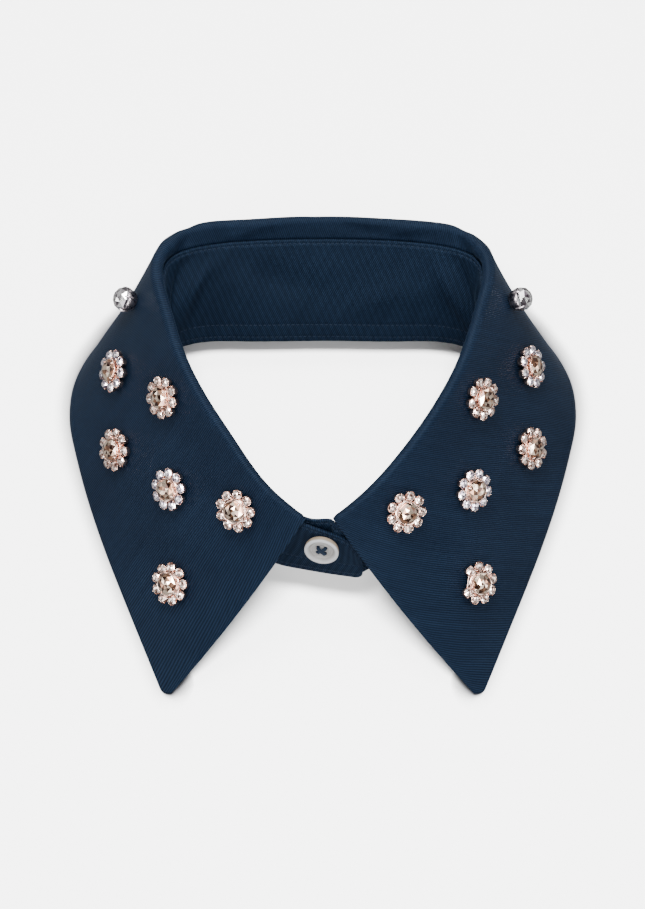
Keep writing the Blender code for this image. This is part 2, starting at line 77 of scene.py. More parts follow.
# %% Words for nodes
class Wiring:
    def __init__(self, tree):
        self.tree = tree

    def join(self, value, socket):
        if isinstance(value, bpy.types.NodeSocket):
            self.tree.links.new(value, socket)
        else:
            socket.default_value = value

    def fill(self, node, sockets):
        for key, value in sockets.items():
            self.join(value, node.inputs[key])

    def add(self, kind, sockets=None, **settings):
        node = self.tree.nodes.new("ShaderNode" + kind)
        for setting, value in settings.items():
            setattr(node, setting, value)
        self.fill(node, sockets or {})
        return node

    def math(self, operation, a, b=0.0, c=0.0):
        return self.add("Math", {0: a, 1: b, 2: c}, operation=operation).outputs[0]

    def noise(self, place, scale, detail, roughness=0.5):
        sockets = {"Vector": place, "Scale": scale, "Detail": detail, "Roughness": roughness}
        return self.add("TexNoise", sockets).outputs["Fac"]

    def stretch(self, place, scale):
        return self.add("Mapping", {"Vector": place, "Scale": scale}).outputs["Vector"]

    def blend(self, amount, a, b, kind="MIX"):
        return self.add("Mix", {0: amount, 6: a, 7: b}, data_type="RGBA", blend_type=kind).outputs[2]

    def ramp(self, value, stops):
        node = self.add("ValToRGB", {"Fac": value})
        elements = node.color_ramp.elements
        while len(elements) < len(stops):
            elements.new(1.0)
        for element, (where, colour) in zip(elements, stops):
            element.position, element.color = where, (*colour, 1)
        return node.outputs["Color"]

    def bump(self, height, strength, distance):
        sockets = {"Height": height, "Strength": strength, "Distance": distance}
        return self.add("Bump", sockets).outputs["Normal"]

    def spot(self):
        """The place on the object, in metres."""
        return self.add("TexCoord").outputs["Object"]

    def mark(self, name):
        """A value that the mesh itself carries."""
        return self.add("Attribute", attribute_name=name).outputs["Fac"]


def new_finish(name):
    finish = bpy.data.materials.new(name)
    finish.use_nodes = True
    return finish, finish.node_tree.nodes["Principled BSDF"], Wiring(finish.node_tree)


def grey(value):
    return (value, value, value)


print("words for nodes are ready")

# %% [markdown]
# ## The camera and the light
# The collar is seen from the front and from high up, from far away, so that its lines stay nearly
# parallel. A long lens does that. The light is a large soft window behind and above the collar, which
# throws the short soft shadows forwards, with a weaker one in front for the folds.

# %% Camera
VIEW_ELEVATION = math.radians(70)
VIEW_DISTANCE = 1.8
LENS = 210.3
TARGET = Vector((-0.0001, 0.0015, 0.0))

towards_camera = Vector((0, -math.cos(VIEW_ELEVATION), math.sin(VIEW_ELEVATION)))
camera = new_object("camera", bpy.data.cameras.new("camera"))
camera.data.lens = LENS
camera.location = TARGET + towards_camera * VIEW_DISTANCE
camera.rotation_euler = towards_camera.to_track_quat("Z", "Y").to_euler()
bpy.context.scene.camera = camera
print("camera", [round(value, 3) for value in camera.location])

# %% Lights
WARM_WHITE, COOL_WHITE, WHITE = (1.0, 0.99, 0.97), (0.97, 0.98, 1.0), (1.0, 1.0, 1.0)


def add_window(name, place, size, power, colour):
    """A large flat light that faces the collar."""
    window = new_object(name, bpy.data.lights.new(name, "AREA"))
    window.data.shape = "RECTANGLE"
    window.data.size, window.data.size_y = size
    window.data.energy, window.data.color = power, colour
    window.location = place
    window.rotation_euler = Vector(place).to_track_quat("Z", "Y").to_euler()
    return window


add_window("back_window", (-0.12, 0.50, 1.25), (0.45, 0.35), 11.0, WARM_WHITE)
add_window("front_window", (0.12, -0.62, 1.15), (0.5, 0.4), 5.5, COOL_WHITE)
table_lamp = add_window("table_lamp", (0.0, -0.09, 1.3), (0.5, 0.2), 92.0, WHITE)

# %% The sky
# Bright panels on a dim ceiling, the same to the left and the right, and weaker out at the sides
PANEL_SCALE = 3.4
PANELS = [(0.50, (0.12, 0.12, 0.125)), (0.60, grey(1.6)), (0.66, grey(1.6)), (0.69, grey(6.0))]
WEAKER_SIDES = {"From Min": 0.2, "From Max": 0.95, "To Min": 1.15, "To Max": 0.7}

world = bpy.data.worlds.new("studio")
world.use_nodes = True
bpy.context.scene.world = world
w = Wiring(world.node_tree)
view = w.add("TexCoord").outputs["Generated"]
both_sides = w.add("VectorMath", {0: view}, operation="ABSOLUTE").outputs["Vector"]
sideways = w.add("SeparateXYZ", {0: both_sides}).outputs["X"]
w.fill(world.node_tree.nodes["Background"], {
    "Color": w.ramp(w.noise(both_sides, PANEL_SCALE, 0.0), PANELS),
    "Strength": w.add("MapRange", {"Value": sideways, **WEAKER_SIDES}).outputs["Result"],
})
print("sky:", len(world.node_tree.nodes), "nodes")

# %% [markdown]
# ## The table
# Navy cloth on a white table needs more range than one exposure holds. In a studio the table gets a
# lamp of its own, so that it stays nearly white while the cloth keeps its depth. Light linking does
# that here. What the table throws back on the collar is held down, as a real table lamp would be.

# %% The table
TABLE_SIDE = 4.0
CONTACT_REACH = 0.006
CONTACT_SHADE = [(0.65, (0.08, 0.08, 0.085)), (0.90, grey(0.42)), (1.0, grey(0.88))]
THROWN_BACK = 0.05

bpy.ops.object.select_all(action="DESELECT")
bpy.ops.mesh.primitive_plane_add(size=TABLE_SIDE, location=(0, 0, 0))
table = bpy.context.object
table.name = "table"

lit_by_lamp = bpy.data.collections.new("lit_by_table_lamp")
lit_by_lamp.objects.link(table)
table_lamp.light_linking.receiver_collection = lit_by_lamp

# The table is seen white, with a dark line of painted contact shadow where the cloth comes near it, and lights
# the rest weakly
table_finish, seen, w = new_finish("table_white")
# Painted contact shadow: the table's colour darkens as the cloth comes near
nearness = w.add("AmbientOcclusion", {"Distance": CONTACT_REACH}).outputs["AO"]
w.fill(seen, {"Base Color": w.ramp(nearness, CONTACT_SHADE), "Roughness": 0.8, "Specular IOR Level": 0.1})
thrown_back = w.add("BsdfDiffuse", {"Color": (*grey(THROWN_BACK), 1)}).outputs["BSDF"]
to_camera = w.add("LightPath").outputs["Is Camera Ray"]
mixed = w.add("MixShader", {0: to_camera, 1: thrown_back, 2: seen.outputs["BSDF"]}).outputs["Shader"]
w.join(mixed, table_finish.node_tree.nodes["Material Output"].inputs["Surface"])
table.data.materials.append(table_finish)
print("table", [round(side, 2) for side in table.dimensions])

# %% [markdown]
# ## The shape of the cloth
# The collar's cloth is held by one table of sections, from the centre back to the front corner, in
# millimetres. Each section gives the axis of the roll, where the cloth turns over, the leaf's lower
# edge on the table, and the top and foot of the stand. A smooth curve runs through the rows, and the
# right side mirrors the left one. The solids have the same sections, so the cloth lies on them; only
# the end of the under lap is drawn a little lower than its solid.

# %% Sections
Section = namedtuple(
    "Section",
    "where roll_x roll_y roll_z roll_r edge_x edge_y bow top_x top_y top_z foot_x foot_y foot_z",
)
SECTIONS = [
    Section("centre back", 0.0, 68.7, 38.5, 2.6, 0.0, 82.5, 1.0, 0.0, 63.7, 36.4, 0.0, 37.0, 12.3),
    Section("back", 26.0, 67.4, 38.9, 2.6, 28.0, 80.0, 1.0, 26.0, 62.8, 36.6, 26.0, 36.7, 12.5),
    Section("back corner", 42.5, 64.4, 40.4, 2.6, 47.8, 70.4, 0.6, 41.3, 60.1, 38.4, 41.3, 36.0, 13.4),
    Section("shoulder", 53.0, 56.4, 43.6, 2.6, 67.6, 50.4, 0.0, 51.7, 54.3, 41.1, 51.3, 31.6, 15.6),
    Section("neck side", 55.3, 47.5, 46.7, 2.6, 81.0, 34.2, -0.6, 53.4, 46.8, 42.6, 54.0, 25.8, 17.2),
    Section("side", 52.9, 35.3, 48.8, 2.5, 86.3, 17.6, -0.4, 51.0, 34.7, 44.4, 52.2, 15.5, 18.8),
    Section("side front", 48.0, 18.0, 49.9, 2.4, 84.7, 2.6, 0.0, 46.2, 17.3, 45.4, 47.8, 1.5, 19.8),
    Section("collarbone", 39.7, 0.5, 49.7, 2.3, 80.0, -15.5, 0.4, 38.2, -0.4, 45.5, 40.4, -14.0, 20.6),
    Section("front", 30.3, -14.0, 48.8, 2.2, 73.8, -34.2, 0.6, 28.9, -15.1, 45.1, 31.4, -27.6, 21.4),
    Section("front slope", 16.5, -30.5, 46.0, 1.9, 63.4, -61.0, 0.6, 15.5, -31.8, 43.5, 17.4, -44.2, 21.9),
    Section("front corner", 5.1, -39.0, 42.9, 1.6, 52.6, -88.0, 0.2, 4.8, -39.6, 41.4, 6.4, -47.9, 22.2),
]

# The ends of the stand past its front corners, as drawn: how far on, the top and the foot of its wall.
# The end on the wearer's right lies over the other one
Lap = namedtuple("Lap", "on top_x top_y top_z foot_x foot_y foot_z")
OVER_LAP = [
    Lap(6.0, 0.4, -40.9, 41.4, -0.6, -49.2, 22.2),
    Lap(13.0, 7.3, -42.0, 41.4, 6.4, -50.3, 22.2),
    Lap(20.0, 14.2, -42.8, 41.2, 13.2, -51.2, 22.0),
]
UNDER_LAP = [
    Lap(1.5, 3.3, -38.5, 41.8, 4.7, -47.4, 22.3),
    Lap(6.0, -1.4, -37.7, 41.6, -0.6, -46.0, 22.6),
    Lap(13.0, -7.8, -35.4, 41.3, -7.4, -43.2, 22.8),
    Lap(19.0, -12.8, -31.6, 41.6, -13.0, -40.2, 22.8),
]

# Beside the over end, the foot of the other side stands a little forward and lower: how far it moves,
# and the stretch of the roll over which it does so, from the front corner
FOOT_PUSH = (0.0, -2.6, -0.8)
FOOT_PUSH_FROM, FOOT_PUSH_TO = -34.0, 10.0

# How an end of the stand is cut: its top slopes down and turns a wide corner, its foot a small one
END_SLOPE_LENGTH = 19.0
OVER_END_DROP = 5.2
UNDER_END_DROP = 1.5
END_TOP_RADIUS = 9.0
END_FOOT_RADIUS = 2.6
END_COLUMNS = [0.0, 0.35, 1.2, 2.6, 4.4, 6.4, 9.0, 12.0, 15.5]

# The cloth's walls, and the gap where the fall is sewn to the stand
STAND_WALL = 1.4
FALL_WALL = 1.2
SEW_GAP = 0.3

# Buttoned up, both front ends lie a little to the wearer's right
CLOSURE_SHIFT = -1.15
SHIFT_START, SHIFT_END = 125.0, 158.0

# The leaf's front edge is cut with a slight outward bow, and its tip is rounded
FRONT_BOW, FRONT_BOW_LENGTH = 1.5, 16.0
TIP_ALONG, TIP_ROUNDING = 2.4, 4.5


# %% Words for points and lines
def unit(vectors):
    return vectors / np.linalg.norm(vectors, axis=-1, keepdims=True)


def bell(distance, width):
    """One in the middle, falling away softly on both sides."""
    return np.exp(-((distance / width) ** 2))


def smooth(t):
    """From 0 to 1, with a level start and a level end."""
    t = np.clip(t, 0.0, 1.0)
    return t * t * (3 - 2 * t)


def run_length(points, axis=0):
    """How far each point lies from the first one, along its own line."""
    steps = np.linalg.norm(np.diff(points, axis=axis), axis=-1)
    return np.insert(np.cumsum(steps, axis=axis), 0, 0.0, axis=axis)


def read_line(where, run, line):
    """The row of three numbers this far along a line."""
    return np.array([np.interp(where, run, line[:, k]) for k in range(3)])


def spline(knots, rows, at):
    """Read a natural cubic spline that passes through the rows at the knots."""
    knots = np.asarray(knots, float)
    rows = np.asarray(rows, float).reshape(len(knots), -1)
    gaps = np.diff(knots)
    system = np.eye(len(knots))
    right = np.zeros_like(rows)
    for i in range(1, len(knots) - 1):
        system[i, i - 1 : i + 2] = gaps[i - 1], 2 * (gaps[i - 1] + gaps[i]), gaps[i]
        right[i] = 6 * ((rows[i + 1] - rows[i]) / gaps[i] - (rows[i] - rows[i - 1]) / gaps[i - 1])
    bend = np.linalg.solve(system, right)
    at = np.atleast_1d(np.asarray(at, float))
    i = np.clip(np.searchsorted(knots, at) - 1, 0, len(gaps) - 1)
    gap = gaps[i][:, None]
    a = (knots[i + 1] - at)[:, None] / gap
    b = 1.0 - a
    return a * rows[i] + b * rows[i + 1] + ((a**3 - a) * bend[i] + (b**3 - b) * bend[i + 1]) * gap**2 / 6


def columns(*names):
    return np.array([[getattr(row, name) for name in names] for row in SECTIONS])


def mirrored(rows, flips):
    """The same rows for both sides: the wearer's right side first, turned over by flips."""
    return np.concatenate([rows[:0:-1] * flips, rows])


def closure_shift(along):
    return CLOSURE_SHIFT * smooth((np.abs(along) - SHIFT_START) / (SHIFT_END - SHIFT_START))


# %% The roll, the edge and the stand at any place
STATIONS = run_length(columns("roll_x", "roll_y", "roll_z"))
HALF = STATIONS[-1]
BOTH_STATIONS = mirrored(STATIONS, -1.0)
ROLL_ROWS = mirrored(columns("roll_x", "roll_y", "roll_z", "roll_r"), [-1, 1, 1, 1])
EDGE_ROWS = mirrored(columns("edge_x", "edge_y", "bow"), [-1, 1, 1])
STAND_ROWS = mirrored(columns("top_x", "top_y", "top_z", "foot_x", "foot_y", "foot_z"), [-1, 1, 1, -1, 1, 1])
STAND_ROWS[:, [0, 3]] += closure_shift(BOTH_STATIONS)[:, None]

over_rows, under_rows = np.array(OVER_LAP[::-1]), np.array(UNDER_LAP)
STAND_KNOTS = np.concatenate([-HALF - over_rows[:, 0], BOTH_STATIONS, HALF + under_rows[:, 0]])
STAND_ROWS = np.concatenate([over_rows[:, 1:], STAND_ROWS, under_rows[:, 1:]])


def roll_at(along):
    rows = spline(BOTH_STATIONS, ROLL_ROWS, along)
    rows[:, 0] += closure_shift(along)
    return rows[:, :3], rows[:, 3]


def edge_at(along):
    rows = spline(BOTH_STATIONS, EDGE_ROWS, along)
    return np.column_stack([rows[:, :2], np.zeros(len(rows))]), rows[:, 2]


def stand_at(along):
    """The top and the foot of the stand's wall, laps included."""
    rows = spline(STAND_KNOTS, STAND_ROWS, along)
    t = (np.atleast_1d(along) - HALF - FOOT_PUSH_FROM) / (FOOT_PUSH_TO - FOOT_PUSH_FROM)
    push = np.sin(math.pi * np.clip(t, 0.0, 1.0)) ** 2
    return rows[:, :3], rows[:, 3:] + push[:, None] * FOOT_PUSH


print("half of the roll is", round(HALF, 1), "mm long")

# %% [markdown]
# ## The fall
# A real fall is two plies of twill with a stiffer cloth between them, turned out and pressed flat.
# It could be simulated, but its fold and points are pressed in, so it is drawn as a section that is
# carried along the roll: up from the seam, round the roll and down the leaf. The same columns give
# the flat pattern: each one is laid down beside the last at its true widths, as a pattern cutter
# unrolls a shape, and the places in that flat pattern are the weave's coordinates.

# %% One column of the fall
RISE_ROWS = 6
ROLL_ROWS_ROUND = 14
# A direction along the cloth is read from places this far to both sides
BESIDE = 0.5


def rotate90(vectors):
    return np.stack([-vectors[..., 1], vectors[..., 0]], axis=-1)


def direction(angles):
    return np.stack([np.cos(angles), np.sin(angles)], axis=-1)


def front_bow(along, t):
    """How far the leaf reaches past its straight ruling near a front edge, t of the way down it."""
    near = np.clip(1.0 - (HALF - abs(along)) / FRONT_BOW_LENGTH, 0.0, 1.0)
    return np.sign(along) * FRONT_BOW * 4 * t * (1 - t) * near * near


# Behind the neck the roll is pressed sharper than its solid: by what share, over what length, and
# towards which side of it, outwards and up. At both back corners it stands out a little more
PRESSED, PRESSED_LENGTH, PRESSED_TOWARDS = 0.3, 75.0, (0.92, 0.38)
CORNER_OUT, CORNER_ALONG, CORNER_LENGTH = 0.55, 45.0, 10.0


def fall_column(along, leaf_end=1.0, leaf_rows=60):
    """The points of the fall's right side from seam to edge, and which way each of them faces."""
    (axis,), (radius,) = roll_at(along)
    tangent = unit(roll_at(along + BESIDE)[0] - roll_at(along - BESIDE)[0])[0]
    out = unit(np.cross([0.0, 0.0, 1.0], tangent))
    up = np.cross(tangent, out)

    pressed = PRESSED * bell(along, PRESSED_LENGTH)
    axis = axis + CORNER_OUT * bell(abs(along) - CORNER_ALONG, CORNER_LENGTH) * out
    axis = axis + (PRESSED_TOWARDS[0] * out + PRESSED_TOWARDS[1] * up) * radius * pressed
    radius = radius * (1 - pressed)

    def across(point):
        return np.array([(point - axis) @ out, (point - axis) @ up])

    top, foot = (points[0] for points in stand_at(along))
    stand_up = unit(top - foot)
    seam = top + stand_up * SEW_GAP
    lengthways = unit(stand_at(along + BESIDE)[0] - stand_at(along - BESIDE)[0])[0]
    start = across(seam + unit(np.cross(stand_up, lengthways)) * 0.5 * FALL_WALL)
    start_slant = (seam - axis) @ tangent

    edge, bow = (rows[0] for rows in edge_at(along))
    end = across(edge)
    slant = (edge - axis) @ tangent
    end_distance = np.hypot(*end)
    first = math.atan2(start[1], start[0]) % math.tau - math.acos(min(1.0, radius / np.hypot(*start)))
    last = math.atan2(end[1], end[0]) + math.acos(radius / end_distance) + 4.0 * bow / end_distance

    rise = np.linspace(0.0, 1.0, RISE_ROWS, endpoint=False)[:, None]
    angles = np.linspace(first, last, ROLL_ROWS_ROUND + 1)
    leaf_top = radius * direction(last)
    chord = end - leaf_top
    leave = direction(last - math.pi / 2)
    arrive = direction(2 * math.atan2(chord[1], chord[0]) - (last - math.pi / 2))
    reach = np.hypot(*chord) / 3
    a, b, c, d = leaf_top, leaf_top + leave * reach, end - arrive * reach, end
    t = np.linspace(0.0, leaf_end, leaf_rows + 1)[1:, None]
    leaf = (1 - t) ** 3 * a + 3 * t * (1 - t) ** 2 * b + 3 * t * t * (1 - t) * c + t**3 * d
    course = (1 - t) ** 2 * (b - a) + 2 * t * (1 - t) * (c - b) + t * t * (d - c)

    inner = start * (1 - rise) + radius * direction(first) * rise
    flat = np.concatenate([inner, radius * direction(angles), leaf])
    faces = np.concatenate([
        np.repeat(direction(first)[None], RISE_ROWS, axis=0), direction(angles), unit(rotate90(course)),
    ])
    shift = np.concatenate([
        start_slant * (1 - rise[:, 0]), np.zeros(ROLL_ROWS_ROUND + 1),
        slant * t[:, 0] + front_bow(along, t[:, 0]),
    ])
    points = axis + flat[:, :1] * out + flat[:, 1:] * up + shift[:, None] * tangent
    return points, faces[:, :1] * out + faces[:, 1:] * up


CROWN_ROW = RISE_ROWS + ROLL_ROWS_ROUND // 2
print("a column has", len(fall_column(0.0)[0]), "points")

# %% All the columns of the fall
# The cloth's edges are half round: they reach past the last column and row by the rim
RIM = 0.35
COLUMN_SPACE = 1.25
TIP_COLUMNS = 9
LEAF_ROWS = 62


def leaf_ends(stations):
    """How much of the leaf is left in each column: less near a front edge, so that the tip is round."""
    tip = edge_at(HALF)[0][0]
    front = np.linalg.norm(roll_at(HALF)[0][0] - tip)
    start = np.linalg.norm(edge_at(HALF - TIP_ALONG)[0][0] - tip)
    distance = np.linalg.norm(edge_at(np.minimum(np.abs(stations), HALF))[0] - tip, axis=1)
    t = np.where(np.abs(stations) > HALF - TIP_ALONG, 1.0 - distance / start, 0.0)
    return 1.0 - TIP_ROUNDING / front * t * t - RIM / front


half_stations = np.linspace(0.0, HALF - TIP_ALONG, round((HALF - TIP_ALONG) / COLUMN_SPACE))
tip_stations = np.linspace(HALF - TIP_ALONG, HALF - RIM, TIP_COLUMNS + 1)[1:]
half_stations = np.concatenate([half_stations, tip_stations])
fall_along = np.concatenate([-half_stations[:0:-1], half_stations])
fall_rows = [fall_column(s, e, LEAF_ROWS) for s, e in zip(fall_along, leaf_ends(fall_along))]
fall_points = np.array([points for points, faces in fall_rows])
fall_faces = np.array([faces for points, faces in fall_rows])
print("the fall's right side:", fall_points.shape[:2], "columns and rows")

# %% The frame's place for the cloth
# The table is drawn round its own middle; the solids stand round the middle of the whole collar
low, high = (np.array(corner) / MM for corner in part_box("collar_fall"))
own_ends = [edge_at(0.0)[0][0][1], fall_points[..., 1].min()]
MOVE = np.array([0.0, (low[1] + high[1]) / 2 - sum(own_ends) / 2, 0.0])
print("moved by", MOVE.round(2), "mm")


# %% The flat pattern
def meet(a, b, from_a, from_b, side):
    """The point at these distances from a and from b, on one side of the line through them."""
    across = b - a
    span = np.hypot(*across)
    ahead = (from_a**2 - from_b**2 + span**2) / (2 * span)
    aside = math.sqrt(max(0.0, from_a**2 - ahead**2))
    forwards = across / span
    return a + forwards * ahead + side * aside * np.array([-forwards[1], forwards[0]])


def unroll(tops, feet):
    """Lay a strip flat: the flat places of its top and foot points, from the middle to both ends."""
    middle = len(tops) // 2
    flat_tops, flat_feet = np.zeros((len(tops), 2)), np.zeros((len(tops), 2))
    flat_feet[middle] = 0.0, -np.linalg.norm(tops[middle] - feet[middle])
    for step, side in ((1, 1), (-1, -1)):
        stop = len(tops) if step > 0 else -1
        for i in range(middle + step, stop, step):
            j = i - step
            along_top, slanted = np.linalg.norm(tops[i] - tops[j]), np.linalg.norm(tops[i] - feet[j])
            flat_tops[i] = meet(flat_tops[j], flat_feet[j], along_top, slanted, side)
            down, along_foot = np.linalg.norm(feet[i] - tops[i]), np.linalg.norm(feet[i] - feet[j])
            flat_feet[i] = meet(flat_tops[i], flat_feet[j], down, along_foot, side)
    return flat_tops, flat_feet


def flat_places(points, crown):
    """The flat pattern's place of every point of a grid of columns, in metres."""
    flat_tops, flat_feet = unroll(points[:, crown], points[:, -1])
    downwards = unit(flat_feet - flat_tops)
    run = run_length(points, 1)
    run -= run[:, crown : crown + 1]
    return (flat_tops[:, None] + downwards[:, None] * run[..., None]) * MM


fall_flat = flat_places(fall_points, CROWN_ROW)
print("the fall's flat pattern is", (np.ptp(fall_flat.reshape(-1, 2), axis=0) / MM).round(0), "mm")

# %% Where the weave runs
# The piece is eased round the neck with steam, so its ribs follow the roll for the most part. Only a
# share of the extra length at the leaf's edge is taken up by the weave turning
WEAVE_EASE = 0.3


def weave_places(points, along, down):
    """The weave's own place of each point: along the roll, and up from the roll's top, in metres."""
    length = run_length(points)
    length -= [np.interp(0.0, along, row) for row in length.T]
    eased = along[:, None] + WEAVE_EASE * (length - along[:, None])
    return np.dstack([eased, -down]) * MM


fall_down = run_length(fall_points, 1)
fall_down -= fall_down[:, CROWN_ROW : CROWN_ROW + 1]
fall_weave = weave_places(fall_points, fall_along, fall_down)
print("the weave runs over", (np.ptp(fall_weave.reshape(-1, 2), axis=0) / MM).round(0), "mm")

# %% [markdown]
# ## Soft folds
# Pressed cloth is never quite flat. It swells a little between its seams, puckers where the band
# turns a tight corner, and keeps a few long shallow troughs where it was folded away. Each one here
# is a soft uneven ridge or trough of its own, and the hidden side has as many as the side that shows.

# %% Ridges and troughs
Fold = namedtuple("Fold", "along down turn length width height")
FOLD_CURVE = 0.12


def folded(folds, along, down):
    """How far the cloth stands out at each place, from a table of folds."""
    out = np.zeros(np.broadcast(along, down).shape)
    for fold in folds:
        angle = math.radians(fold.turn)
        u = (along - fold.along) * math.cos(angle) + (down - fold.down) * math.sin(angle)
        v = (down - fold.down) * math.cos(angle) - (along - fold.along) * math.sin(angle)
        v = v + FOLD_CURVE * u * u / fold.length
        out += fold.height * bell(u, fold.length) * bell(v, fold.width)
    return out


# %% Building a sheet with two faces and half-round edges
RIM_STEPS = 4


def outwards(points):
    """Along the border of a grid, which way leads off the cloth."""
    away = np.zeros_like(points)
    away[0] += unit(points[0] - points[1])
    away[-1] += unit(points[-1] - points[-2])
    away[:, 0] += unit(points[:, 0] - points[:, 1])
    away[:, -1] += unit(points[:, -1] - points[:, -2])
    return away


def border_of(columns_count, rows_count):
    """The places of a grid's border, once round."""
    first = [(i, 0) for i in range(columns_count - 1)]
    second = [(columns_count - 1, j) for j in range(rows_count - 1)]
    third = [(i, rows_count - 1) for i in range(columns_count - 1, 0, -1)]
    fourth = [(0, j) for j in range(rows_count - 1, 0, -1)]
    return np.array(first + second + third + fourth)


def cloth_shell(name, right, under, faces, flat):
    """A closed sheet: its right side, its under side behind it, and a half-round rim."""
    count, rows = right.shape[:2]
    numbers = np.arange(count * rows).reshape(count, rows)
    corners = np.stack([numbers[:-1, :-1], numbers[1:, :-1], numbers[1:, 1:], numbers[:-1, 1:]], axis=-1)
    corners = corners.reshape(-1, 4)
    looks = np.cross(right[1, 0] - right[0, 0], right[1, 1] - right[1, 0]) @ faces[0, 0]
    if looks < 0:
        corners = corners[:, ::-1]
    border = border_of(count, rows)
    i, j = border.T
    away = outwards(right)[i, j]
    away = away / np.maximum(1.0, np.linalg.norm(away, axis=1, keepdims=True))
    middle = (right[i, j] + under[i, j]) / 2
    half = (right[i, j] - under[i, j]) / 2
    rings = [numbers[i, j]]
    points = [right.reshape(-1, 3), under.reshape(-1, 3)]
    places = [flat.reshape(-1, 2)] * 2
    away_flat = outwards(np.dstack([flat, np.zeros(flat.shape[:2])]))[i, j, :2]
    for step in range(1, RIM_STEPS):
        angle = math.pi * step / RIM_STEPS
        points.append(middle + half * math.cos(angle) + away * RIM * math.sin(angle))
        places.append(flat[i, j] + away_flat * RIM * MM * step / RIM_STEPS)
        rings.append(2 * count * rows + (step - 1) * len(border) + np.arange(len(border)))
    rings.append(numbers[i, j] + count * rows)
    quads = [corners, corners[:, ::-1] + count * rows]
    for near, far in zip(rings[:-1], rings[1:]):
        strip = np.stack([near, far, np.roll(far, -1), np.roll(near, -1)], axis=-1)
        quads.append(strip[:, ::-1] if looks < 0 else strip)
    points = (np.concatenate(points) + MOVE) * MM
    points[:, 2] = np.maximum(points[:, 2], 0.0)
    mesh = bpy.data.meshes.new(name)
    mesh.from_pydata(points.tolist(), [], np.concatenate(quads).tolist())
    uv = mesh.uv_layers.new(name="weave")
    corner_points = np.zeros(len(mesh.loops), dtype=np.int32)
    mesh.loops.foreach_get("vertex_index", corner_points)
    uv.data.foreach_set("uv", np.concatenate(places)[corner_points].ravel())
    mesh.polygons.foreach_set("use_smooth", [True] * len(mesh.polygons))
    return new_object(name, mesh)


# %% The fall's piece
# Length, width and height of each fold are in millimetres; turn is from the roll, in degrees
FALL_FOLDS = [
    Fold(-46, -2.0, 78, 5.0, 2.2, -0.9),
    Fold(-54, -3.0, 100, 6.0, 2.6, 0.7),
    Fold(47, -2.5, 96, 5.5, 2.4, -0.85),
    Fold(56, -2.5, 82, 6.0, 2.5, 0.65),
    Fold(-24, -3.0, 20, 12.0, 2.0, 0.5),
    Fold(12, -3.5, 165, 15.0, 2.2, -0.5),
    Fold(30, -2.5, 10, 9.0, 1.8, 0.5),
    Fold(-100, 26.0, 12, 30.0, 9.0, -0.55),
    Fold(-138, 38.0, 150, 26.0, 8.0, 0.4),
    Fold(-146, 20.0, 20, 20.0, 7.0, -0.35),
    Fold(-72, 34.0, 60, 22.0, 8.0, 0.35),
    Fold(102, 28.0, 170, 28.0, 9.0, -0.5),
    Fold(136, 40.0, 24, 27.0, 8.5, 0.42),
    Fold(150, 22.0, 158, 18.0, 7.0, -0.35),
    Fold(74, 32.0, 118, 22.0, 8.0, 0.33),
    Fold(-20, 22.0, 14, 28.0, 8.0, -0.5),
    Fold(16, 30.0, 168, 30.0, 7.0, 0.45),
    Fold(38, 16.0, 75, 14.0, 6.0, -0.4),
    Fold(-42, 18.0, 100, 15.0, 6.0, 0.4),
]
# A pressed edge: the plies are rolled at the very edge and a little fuller just inside it
EDGE_THIN, EDGE_ROLL = 0.22, 0.9
EDGE_FULL, EDGE_FULL_AT, EDGE_FULL_WIDTH = 0.10, 1.7, 0.8
# The folds die away towards the edge on the table and the seam, which hold the cloth
HEM_HOLD, SEAM_HOLD = 14.0, 2.5


def edge_profile(distance):
    """How far a face stands out near a pressed edge, by distance from it."""
    return EDGE_FULL * bell(distance - EDGE_FULL_AT, EDGE_FULL_WIDTH) - EDGE_THIN * bell(distance, EDGE_ROLL)


across_leaf = run_length(fall_points)
front_distance = np.minimum(across_leaf, across_leaf[-1:] - across_leaf)
leaf_distance = fall_down[:, -1:] - fall_down
fall_edges = edge_profile(np.minimum(leaf_distance, front_distance))
fall_bend = folded(FALL_FOLDS, fall_along[:, None], fall_down)
from_hem, from_seam = leaf_distance / HEM_HOLD, (fall_down - fall_down[:, :1]) / SEAM_HOLD
fall_bend *= smooth(np.clip(from_hem, 0, 1) * np.clip(from_seam, 0, 1))
fall_right = fall_points + fall_faces * (fall_bend + fall_edges)[..., None]
fall_under = fall_points + fall_faces * (fall_bend - fall_edges - FALL_WALL)[..., None]
fall = cloth_shell("fall_cloth", fall_right, fall_under, fall_faces, fall_weave)
print("fall:", len(fall.data.polygons), "faces; folds", fall_bend.min().round(2), fall_bend.max().round(2))

# %% [markdown]
# ## The stand
# The stand is a stiffened band of the same cloth. It is cut as a long shallow curve, so that its top
# is longer than its foot, and its two ends pass over each other at the front. One grid makes it, with
# close rows beside both seams, where the stitching pulls the plies together.

# %% The stand's rows and ends
SEAM_ROWS = np.array([0.0, 0.2, 0.45, 0.7, 0.85, 1.0, 1.15, 1.3, 1.5, 1.7, 2.0, 2.5, 3.1])
FOOT_ROWS = np.array([
    0.0, 0.25, 0.6, 0.95, 1.2, 1.35, 1.5, 1.65, 1.8, 2.1, 2.7, 3.5, 4.5, 5.3, 5.6, 5.8, 6.0, 6.3,
])
MIDDLE_ROWS = 22
SEAM_SHARE = 0.85


def corner_trim(distance, radius):
    inside = np.clip(radius - distance, 0.0, radius)
    return radius - math.sqrt(radius * radius - inside * inside)


def row_distances(height):
    """Where a column's rows lie, from its top to its foot: close beside the seams."""
    room = min(1.0, SEAM_SHARE * height / (SEAM_ROWS[-1] + FOOT_ROWS[-1]))
    top, foot = SEAM_ROWS * room, height - FOOT_ROWS[::-1] * room
    return np.concatenate([top, np.linspace(top[-1], foot[0], MIDDLE_ROWS + 2)[1:-1], foot])


